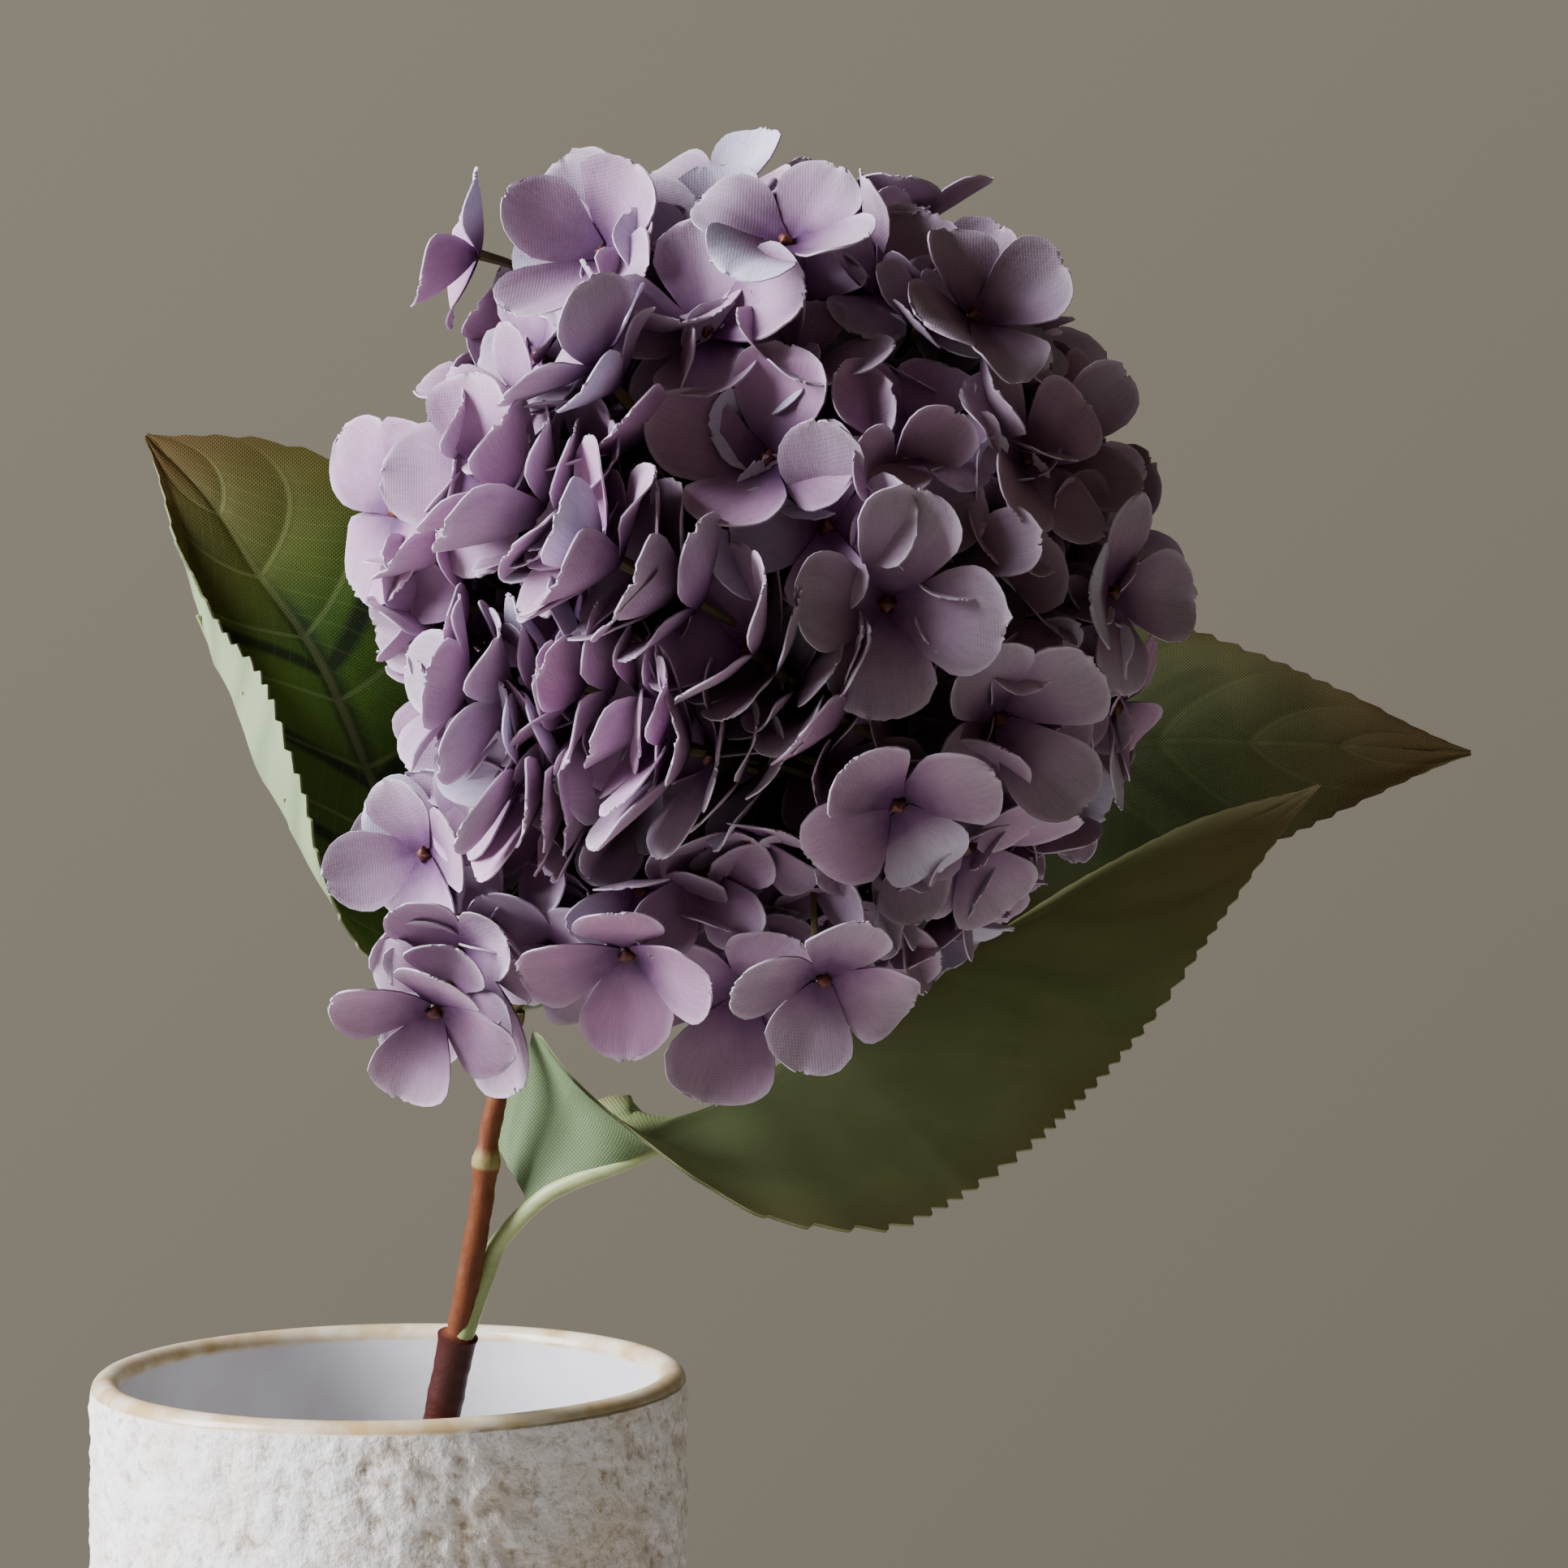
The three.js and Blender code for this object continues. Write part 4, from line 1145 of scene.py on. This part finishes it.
floret_names = sorted(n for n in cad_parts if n.startswith("floret"))
poses = {name: floret_pose(name) for name in floret_names}
centres = np.array([pose[0] for pose in poses.values()])
ball_low, ball_high = np.percentile(centres, [6, 94], axis=0)
ball_centre, ball_radii = (ball_low + ball_high) / 2, (ball_high - ball_low) / 2
print("ball of florets, centre and radii, mm:", ball_centre / MM, ball_radii / MM)
print("florets:", len(poses), "spans, mm:", np.round([2 * p[2] / MM for p in poses.values()], 1))

# %% [markdown]
# A petal is a broad spoon: narrow in the throat, widest past its middle, round at the
# end, with a cut edge that frays a little. Four of them overlap like a fan. The
# differences between petals come from seeded random numbers: how far each one rises,
# how its rim curls, how it twists, and where its edge waves. The points of a petal are
# a grid over s, from its throat to its end, and t, from one edge to the other.

# %% One petal
PETAL_SHEET = 0.28 * MM
PETAL_ROWS = 13
PETAL_COLUMNS = 11
EDGE_FRAY = 0.012
# share of petals painted bluish white, partly a paler dye and partly painted highlight
WHITISH_HIGHLIT_PETALS = 0.1


def petal_grid(half, dice, cup, rows, columns):
    """A petal that points along +X from the floret's centre, as a grid with its UV."""
    length = half * dice.uniform(0.85, 1.0)
    width = half * dice.uniform(0.4, 0.5)
    s = np.sin(np.linspace(0.06, math.pi / 2 * 0.985, rows))[:, None]
    t = np.linspace(-1, 1, columns)[None, :]
    swell = 0.2 + 0.8 * np.sin(np.clip(s / 0.66, 0, 1) * math.pi / 2) ** 1.5
    close = np.sqrt(np.clip(1 - np.clip((s - 0.62) / 0.385, 0, 1) ** 2.1, 0.0, 1))
    lean = dice.uniform(-0.08, 0.08)
    wave_turn, wave_count = dice.uniform(0, 6.28), dice.integers(2, 4)
    edge = 1 + 0.035 * np.sin(wave_count * 3.1 * s + wave_turn + t)
    fray = dice.normal(0, EDGE_FRAY, (rows, columns)) * np.where(np.abs(t) > 0.99, 1.0, 0.0)
    x = length * (s + 0.01 * dice.normal(0, 1, (rows, columns)) * (s > 0.97))
    y = width * swell * close * t * (edge + fray) + lean * length * s * s
    rise = cup * 2 * half * (np.hypot(x, y) / half) ** 1.5
    spoon = dice.uniform(-0.28, 0.3) * width * (t * close) ** 2 * np.clip(s * 1.3, 0, 1)
    curl = dice.uniform(-0.06, 0.24) * half * np.clip((s - 0.5) / 0.5, 0, 1) ** 2
    ripple = 0.018 * half * np.sin(wave_count * 4 * s + 3.5 * t + wave_turn) * np.abs(t) * s
    crease = -0.035 * half * np.exp(-((t / 0.22) ** 2)) * np.clip(s * 1.5, 0, 1) * (1 - s * 0.6)
    twist = dice.uniform(-0.22, 0.22) * y * s
    grid = np.stack(np.broadcast_arrays(x, y, rise + spoon - curl + ripple + crease + twist), axis=-1)
    uv = np.stack(np.broadcast_arrays(s, t * (0.25 + 0.75 * close)), axis=-1)
    return grid, uv


def add_floret(bundle, centre, axes, half, dice, tint, cup_change=0.0, size=(PETAL_ROWS, PETAL_COLUMNS)):
    """Adds a floret's four petals to a bundle."""
    rows, columns = size
    order = dice.uniform(-1, 1)
    for k in range(4):
        cup = 0.22 + cup_change + dice.uniform(-0.14, 0.14)
        grid, uv = petal_grid(half, dice, cup, rows, columns)
        turn = k * math.pi / 2 + dice.uniform(-0.1, 0.1)
        spin = np.array(Matrix.Rotation(turn, 3, "Z"))
        lift = (0.35 if k % 2 else -0.1) * math.copysign(1, order) * MM
        grid = grid @ spin.T + np.array([0, 0, lift])
        points, faces = sheet_solid(grid @ axes.T + centre, PETAL_SHEET)
        flat_uv = np.tile(uv.reshape(-1, 2), (2, 1))
        rim = np.maximum(np.abs(np.linspace(-1, 1, columns))[None, :] ** 6, uv[..., 0] ** 14)
        # Some petals go bluish white: partly paler dye, partly painted highlight.
        whitish_highlit = 1.0 if dice.uniform() < WHITISH_HIGHLIT_PETALS else 0.0
        bundle.add(
            points,
            faces,
            flat_uv,
            {
                "under": np.repeat([0.0, 1.0], len(points) // 2),
                "rim": np.tile(rim.ravel(), 2),
                "tint": tint + dice.uniform(-0.12, 0.12),
                "whitish_highlit": whitish_highlit,
            },
        )


# %% [markdown]
# The voile is dyed by hand: dark violet in the throat, mauve across the middle, and
# lilac-pink near the edge. About one petal in ten turns bluish white towards its end:
# partly a paler dye, and partly a painted highlight of the cool window light on it.
# The cut edge is pale, because the dye doesn't reach the middle of the thread. Thin
# cloth lets light through, so part of the shader is translucent.


# %% Dyed voile
# The dye from the throat to the end of a petal.
DYE_STOPS = [(0.0, "#3d1f3a"), (0.16, "#633c66"), (0.36, "#8c6788"), (0.6, "#b189aa"), (1.0, "#c7a6be")]


def petal_cloth():
    """Dyed voile: the dye's ramp, its drift to pink or grey, bluish white petals that are partly painted
    highlight, veins and rim.
    """
    finish, tree, output = new_material("dyed_voile")
    uv = add_node(tree, "ShaderNodeUVMap", uv_map="UVMap").outputs[0]
    parts = add_node(tree, "ShaderNodeSeparateXYZ", {0: uv})
    along, across = parts.outputs[0], parts.outputs[1]
    drift = object_noise(tree, 60, 4)
    blot = object_noise(tree, 220, 3)
    blotted = maths(tree, "MULTIPLY", maths(tree, "SUBTRACT", blot, 0.5), 0.35)
    along_dyed = maths(tree, "ADD", along, blotted)
    ramp = add_node(tree, "ShaderNodeValToRGB", {0: along_dyed})
    fill_ramp(ramp, DYE_STOPS)
    tint = point_value(tree, "tint")
    outer = remap(tree, along, 0.25, 0.8)
    warm = remap(tree, maths(tree, "ADD", tint, drift), 0.75, 1.35, 0.0, 0.8)
    colour = blend_colours(tree, maths(tree, "MULTIPLY", warm, outer), ramp.outputs[0], "#c78fb6")
    cold = remap(tree, maths(tree, "SUBTRACT", tint, drift), 0.1, -0.45, 0.0, 0.7)
    colour = blend_colours(tree, maths(tree, "MULTIPLY", cold, outer), colour, "#a79ca6")
    # Painted highlight in part: the chosen petals go bluish white towards their ends.
    whitish_highlit_reach = remap(tree, along, 0.3, 0.7, 0.0, 0.75)
    white = maths(tree, "MULTIPLY", point_value(tree, "whitish_highlit"), whitish_highlit_reach)
    colour = blend_colours(tree, white, colour, "#d9d8ea")
    fanned = maths(tree, "DIVIDE", across, maths(tree, "ADD", along, 0.25))
    onwards = maths(tree, "MULTIPLY", along, 1.2)
    place = add_node(tree, "ShaderNodeCombineXYZ", {0: onwards, 1: fanned}).outputs[0]
    fan = add_node(tree, "ShaderNodeTexNoise", {"Vector": place, "Scale": 9.0, "Detail": 3.0}).outputs[0]
    stretched = add_node(tree, "ShaderNodeMapping", {"Vector": place, "Scale": (0.7, 7.0, 1.0)}).outputs[0]
    inputs = {"Vector": stretched, "Scale": 3.0, "Detail": 4.0}
    veins = add_node(tree, "ShaderNodeTexNoise", inputs).outputs[0]
    vein_lines = remap(tree, gap(tree, veins, 0.5), 0.0, 0.045, 0.22, 0.0)
    colour = blend_colours(tree, vein_lines, colour, "#6f5078")
    cut_edge = remap(tree, point_value(tree, "rim"), 0.35, 1.0)
    rim = maths(tree, "MULTIPLY", cut_edge, remap(tree, along, 0.3, 0.75, 0.0, 0.6))
    colour = blend_colours(tree, rim, colour, "#d9cbd9")
    threads = weave(tree, 0.45 * MM)
    height = maths(tree, "ADD", maths(tree, "MULTIPLY", threads, 0.6), maths(tree, "MULTIPLY", fan, 0.8))
    height = maths(tree, "ADD", height, vein_lines)
    bump = add_node(tree, "ShaderNodeBump", {"Strength": 0.3, "Distance": 0.15 * MM, "Height": height})
    cloth = add_node(
        tree,
        "ShaderNodeBsdfPrincipled",
        {"Base Color": colour, "Roughness": 0.72, "IOR": 1.4, "Normal": bump.outputs[0]},
    )
    through = add_node(tree, "ShaderNodeBsdfTranslucent", {"Color": colour})
    shared = add_node(tree, "ShaderNodeMixShader", {0: 0.2, 1: cloth.outputs[0], 2: through.outputs[0]})
    tree.links.new(shared.outputs[0], output.inputs[0])
    return finish


petal_finish = petal_cloth()

# %% [markdown]
# The florets are gathered into a few pieces by where they sit, so that each piece
# stays light, and every floret still stands in its own CAD floret's place.


# %% Florets in the CAD's places
def head_region(centre):
    """The name of the part of the head that a place lies in."""
    x, y, z = (np.asarray(centre) - ball_centre) / ball_radii
    if y > 0.25:
        return "back"
    if z > 0.45:
        return "crown"
    if z < -0.45:
        return "skirt"
    return "left" if x < -0.1 else "right"


bundles = {}
covered = {}
eyes = []
for index, (name, (centre, axes, half)) in enumerate(poses.items()):
    dice = np.random.default_rng(SEED * 100 + index)
    region = head_region(centre)
    bundle = bundles.setdefault(region, Bundle())
    covered.setdefault(region, []).append(name)
    add_floret(bundle, centre, axes, half, dice, dice.uniform(-0.1, 0.6))
    eyes.append((centre, axes, half))

for region, bundle in bundles.items():
    made = bundle.piece("florets_" + region, petal_finish, 60)
    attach(made, "root")
    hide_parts(*covered[region])
    print(region, "florets:", len(covered[region]), "faces:", len(made.data.polygons))

# %% [markdown]
# ## Florets behind the outer ones
#
# A real head holds more florets than the CAD's 51. In the fold on the left they stand
# edge on, packed like the pages of a book, so each floret there gets up to four more
# beside it. A floret that stands off the ball gets two behind it, which tie it to the
# head. The rest fill the gaps on four shells, one inside the other. Their places are
# spread evenly by the golden angle, and the ones that would crowd another floret, or
# stand before the face of one, are dropped. Geometry Nodes then puts one of a few
# pressed shapes on each place, turned by seeded random numbers.

# %% Places with room
INNER_ROOM = 13 * MM
PAGE_STEP = 4.6 * MM
PAGE_TILT = math.radians(38)  # a floret that looks further aside than this is a page
OFF_THE_BALL = 1.12  # reach, in radii of the ball, beyond which a floret is tied back
TIE_DEPTHS = (9 * MM, 17 * MM)
TIE_ROOM = 7 * MM
FACE_CLEAR_BEHIND = 2 * MM
FACE_CLEAR_AHEAD = 16 * MM
FACE_CLEAR_ASIDE = 15 * MM
FORK_CLEAR_HEIGHT = 12 * MM
FORK_CLEAR_REACH = 22 * MM


def golden_spread(count):
    """Directions spread evenly over a ball."""
    i = np.arange(count)
    z = 1 - (2 * i + 1) / count
    ring = np.sqrt(1 - z * z)
    turn = math.pi * (3 - math.sqrt(5)) * i
    return np.stack([ring * np.cos(turn), ring * np.sin(turn), z], axis=1)


looks = np.array([pose[1][:, 2] for pose in poses.values()])
radials = unit((centres - ball_centre) / ball_radii)
fills = []


def add_fill(place, look, size, layer, room):
    """Keeps a place for a floret if there is room round it, and clear of the cane."""
    taken = np.array([*centres, *(fill[0] for fill in fills)])
    if np.linalg.norm(taken - place, axis=1).min() < room:
        return
    if place[2] < fork[2] + FORK_CLEAR_HEIGHT and np.linalg.norm(place - fork) < FORK_CLEAR_REACH:
        return
    fills.append((place, unit(look), size, layer))


for centre, look, radial in zip(centres, looks, radials, strict=True):
    if look @ radial < math.cos(PAGE_TILT):
        for step in (-2, -1, 1, 2):
            place = centre + look * PAGE_STEP * step - radial * rng.uniform(0, 4) * MM
            add_fill(place, look + rng.normal(0, 0.1, 3), rng.uniform(0.95, 1.15), 0, PAGE_STEP * 0.75)

for centre, look, radial in zip(centres, looks, radials, strict=True):
    if np.linalg.norm((centre - ball_centre) / ball_radii) > OFF_THE_BALL:
        for depth in TIE_DEPTHS:
            place = centre - radial * depth + rng.normal(0, 3, 3) * MM
            add_fill(place, look + radial + rng.normal(0, 0.4, 3), rng.uniform(0.74, 0.9), 0, TIE_ROOM)


def hides_one(place):
    """Whether a floret at this place would stand before the face of one that is there."""
    ahead = np.einsum("ij,ij->i", place - centres, looks)
    aside = np.linalg.norm(place - centres - ahead[:, None] * looks, axis=1)
    before_it = (ahead > -FACE_CLEAR_BEHIND) & (ahead < FACE_CLEAR_AHEAD)
    return bool((before_it & (aside < FACE_CLEAR_ASIDE)).any())


# Reach in radii of the ball, places tried, room round each floret, and layer.
SHELLS = (
    (1.04, 260, 8.5 * MM, 0),
    (0.9, 200, 9.5 * MM, 1),
    (0.68, 70, INNER_ROOM, 2),
    (0.42, 20, INNER_ROOM, 2),
)
for reach, tries, room, layer in SHELLS:
    for way in golden_spread(tries):
        place = ball_centre + way * ball_radii * reach
        if hides_one(place):
            continue
        near = looks[np.linalg.norm(centres - place, axis=1).argmin()]
        look = 0.4 * near + unit(way / ball_radii) + rng.normal(0, 0.42, 3)
        add_fill(place, look, rng.uniform(0.82, 1.05), layer, room)
layer_counts = [sum(fill[3] == layer for fill in fills) for layer in range(3)]
print("florets among, between and inside:", layer_counts)

# %% Pressed shapes to copy
FILL_SHAPES = 5
FILL_HALF = 15.5 * MM
FILL_GRIDS = ((10, 9), (9, 7), (7, 5))  # rows and columns of a petal, for each layer


def pressed_shapes(layer):
    """A collection of floret shapes at the origin, finer for the outer layer."""
    holder = bpy.data.collections.new(f"pressed_shapes_{layer}")
    for kind in range(FILL_SHAPES):
        bundle = Bundle()
        dice = np.random.default_rng(SEED * 7 + kind)
        cup = dice.uniform(-0.02, 0.12)
        tint = 0.1 + 0.1 * kind
        add_floret(bundle, np.zeros(3), np.eye(3), FILL_HALF, dice, tint, cup, FILL_GRIDS[layer])
        shape = bundle.piece(f"shape_{layer}_{kind}", petal_finish, 60)
        bpy.context.scene.collection.objects.unlink(shape)
        holder.objects.link(shape)
    return holder


# %% A node tree that sets shapes on places
def scatter_tree(shape_holder, surface):
    """Puts one of the shapes on every point, by the point's look and size."""
    tree = bpy.data.node_groups.new("floret_scatter", "GeometryNodeTree")
    tree.interface.new_socket("Geometry", in_out="INPUT", socket_type="NodeSocketGeometry")
    tree.interface.new_socket("Seed", in_out="INPUT", socket_type="NodeSocketInt")
    tree.interface.new_socket("Geometry", in_out="OUTPUT", socket_type="NodeSocketGeometry")
    start = add_node(tree, "NodeGroupInput")
    shapes = add_node(
        tree,
        "GeometryNodeCollectionInfo",
        {"Collection": shape_holder, "Separate Children": True, "Reset Children": True},
    )
    look = add_node(tree, "GeometryNodeInputNamedAttribute", {0: "look"}, data_type="FLOAT_VECTOR")
    size = add_node(tree, "GeometryNodeInputNamedAttribute", {0: "size"}, data_type="FLOAT")
    facing = add_node(tree, "FunctionNodeAlignRotationToVector", {"Vector": look.outputs[0]}, axis="Z")
    turn = add_node(
        tree,
        "FunctionNodeRandomValue",
        {"Min": (0, 0, 0), "Max": (0, 0, 6.283), "Seed": start.outputs[1]},
        data_type="FLOAT_VECTOR",
    )
    turned = add_node(
        tree,
        "FunctionNodeRotateRotation",
        {0: facing.outputs[0], 1: turn.outputs[0]},
        rotation_space="LOCAL",
    )
    placed = add_node(
        tree,
        "GeometryNodeInstanceOnPoints",
        {
            "Points": start.outputs[0],
            "Instance": shapes.outputs[0],
            "Pick Instance": True,
            "Rotation": turned.outputs[0],
            "Scale": size.outputs[0],
        },
    )
    real = add_node(tree, "GeometryNodeRealizeInstances", {0: placed.outputs[0]})
    painted = add_node(tree, "GeometryNodeSetMaterial", {"Geometry": real.outputs[0], "Material": surface})
    add_node(tree, "NodeGroupOutput", {0: painted.outputs[0]})
    return tree


# %% The florets between and inside
for layer, name in enumerate(("florets_among", "florets_between", "florets_inside")):
    chosen = [fill for fill in fills if fill[3] == layer]
    places = bpy.data.meshes.new(name + "_places")
    places.from_pydata([tuple(fill[0]) for fill in chosen], [], [])
    places.attributes.new("size", "FLOAT", "POINT").data.foreach_set("value", [fill[2] for fill in chosen])
    ways = places.attributes.new("look", "FLOAT_VECTOR", "POINT")
    ways.data.foreach_set("vector", np.array([fill[1] for fill in chosen], dtype=np.float32).ravel())
    place_holder = bpy.data.objects.new(name + "_places", places)
    bpy.context.scene.collection.objects.link(place_holder)
    shapes = pressed_shapes(layer)
    made = evaluated_piece(place_holder, name, scatter_tree(shapes, petal_finish), {"Seed": SEED + layer})
    bpy.data.collections.remove(shapes)
    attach(made, "root")
    print(name, len(made.data.polygons), "faces")

# %% [markdown]
# ## Twigs and eyes
#
# Every floret is held by a thin wire twig that branches from a few thicker ones. The
# twigs run from the fork of the stem to knots inside the head and on to each floret's
# back. The tip of the twig comes through the floret and is moulded into a small, dark,
# wrinkled eye.

# %% Twigs
KNOTS = 12
KNOT_REACH = 0.42
MAIN_POINTS = 16
TWIG_POINTS = 14
knots = ball_centre + golden_spread(KNOTS) * ball_radii * KNOT_REACH
twig_paths = []
for knot in knots:
    gather = fork + (ball_centre - fork) * 0.45
    bend = gather + (knot - gather) * 0.35
    main = smooth_path([fork, (fork + bend) / 2 + rng.normal(0, 1, 3) * MM, bend, knot], MAIN_POINTS)
    zones = np.linspace(0.72, 0.8, MAIN_POINTS)
    twig_paths.append((main, np.linspace(1.5, 1.05, MAIN_POINTS) * MM, zones))

tips = [(centre, axes[:, 2]) for centre, axes, _ in eyes] + [fill[:2] for fill in fills]
for centre, look in tips:
    back = centre - look * KNOB_LENGTH
    root = min(knots, key=lambda knot: np.linalg.norm(knot - back))
    middle = back - look * 5 * MM
    halfway = (root + middle) / 2 + rng.normal(0, 0.8, 3) * MM
    path = smooth_path([root, halfway, middle, back, centre], TWIG_POINTS)
    radii = np.interp(np.linspace(0, 1, TWIG_POINTS), [0, 0.8, 1], [0.62, 0.55, 0.95]) * MM
    twig_paths.append((path, radii, np.linspace(0.8, 1.0, TWIG_POINTS)))
twigs = rods("stem_twigs", twig_paths, stem_finish, 7)
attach(twigs, "root")
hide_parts("stem")
print("twigs:", len(twig_paths), "faces:", len(twigs.data.polygons))

# %% Eyes
EYE_RADIUS = 1.25 * MM
EYE_RINGS = 6
EYE_SIDES = 8


def eye_finish():
    """Dark red-brown plastic."""
    finish, tree, output = new_material("moulded_eye_plastic")
    grain = object_noise(tree, 900, 2)
    colour = blend_colours(tree, remap(tree, grain, 0.35, 0.7), "#3a1512", "#6d3520")
    plastic = add_node(tree, "ShaderNodeBsdfPrincipled", {"Base Color": colour, "Roughness": 0.5})
    tree.links.new(plastic.outputs[0], output.inputs[0])
    return finish


def eye_ball(dice):
    """Points of a small ball with four lobes and a wrinkled skin, ring after ring."""
    polar = np.linspace(0.12, math.pi - 0.12, EYE_RINGS)[:, None]
    turn = np.linspace(0, 2 * np.pi, EYE_SIDES, endpoint=False)[None, :]
    lobes = 1 + 0.22 * np.cos(4 * turn) * np.sin(polar)
    radius = EYE_RADIUS * lobes * dice.uniform(0.85, 1.15, (EYE_RINGS, EYE_SIDES))
    x = radius * np.sin(polar) * np.cos(turn)
    y = radius * np.sin(polar) * np.sin(turn)
    z = 0.8 * radius * np.cos(polar) + 0.7 * MM
    return np.stack(np.broadcast_arrays(x, y, z), axis=-1).reshape(-1, 3)


eye_looks = [(centre, axes) for centre, axes, _ in eyes]
for place, look, _, layer in fills:
    if layer < 2:
        side = unit(np.cross(look, [0.3, 0.2, 0.9]))
        eye_looks.append((place, np.stack([side, np.cross(look, side), look], axis=1)))

eye_faces = grid_faces(EYE_RINGS, EYE_SIDES, closed=True)
eye_faces.append(tuple(range(EYE_SIDES))[::-1])
eye_faces.append(tuple(range((EYE_RINGS - 1) * EYE_SIDES, EYE_RINGS * EYE_SIDES)))
eye_bundle = Bundle()
for index, (centre, axes) in enumerate(eye_looks):
    ball = eye_ball(np.random.default_rng(SEED * 500 + index))
    eye_bundle.add(ball @ axes.T + centre, eye_faces, np.zeros((len(ball), 2)), {})
eye_piece = eye_bundle.piece("floret_eyes", eye_finish(), 80)
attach(eye_piece, "root")
print("eyes:", len(eye_looks))
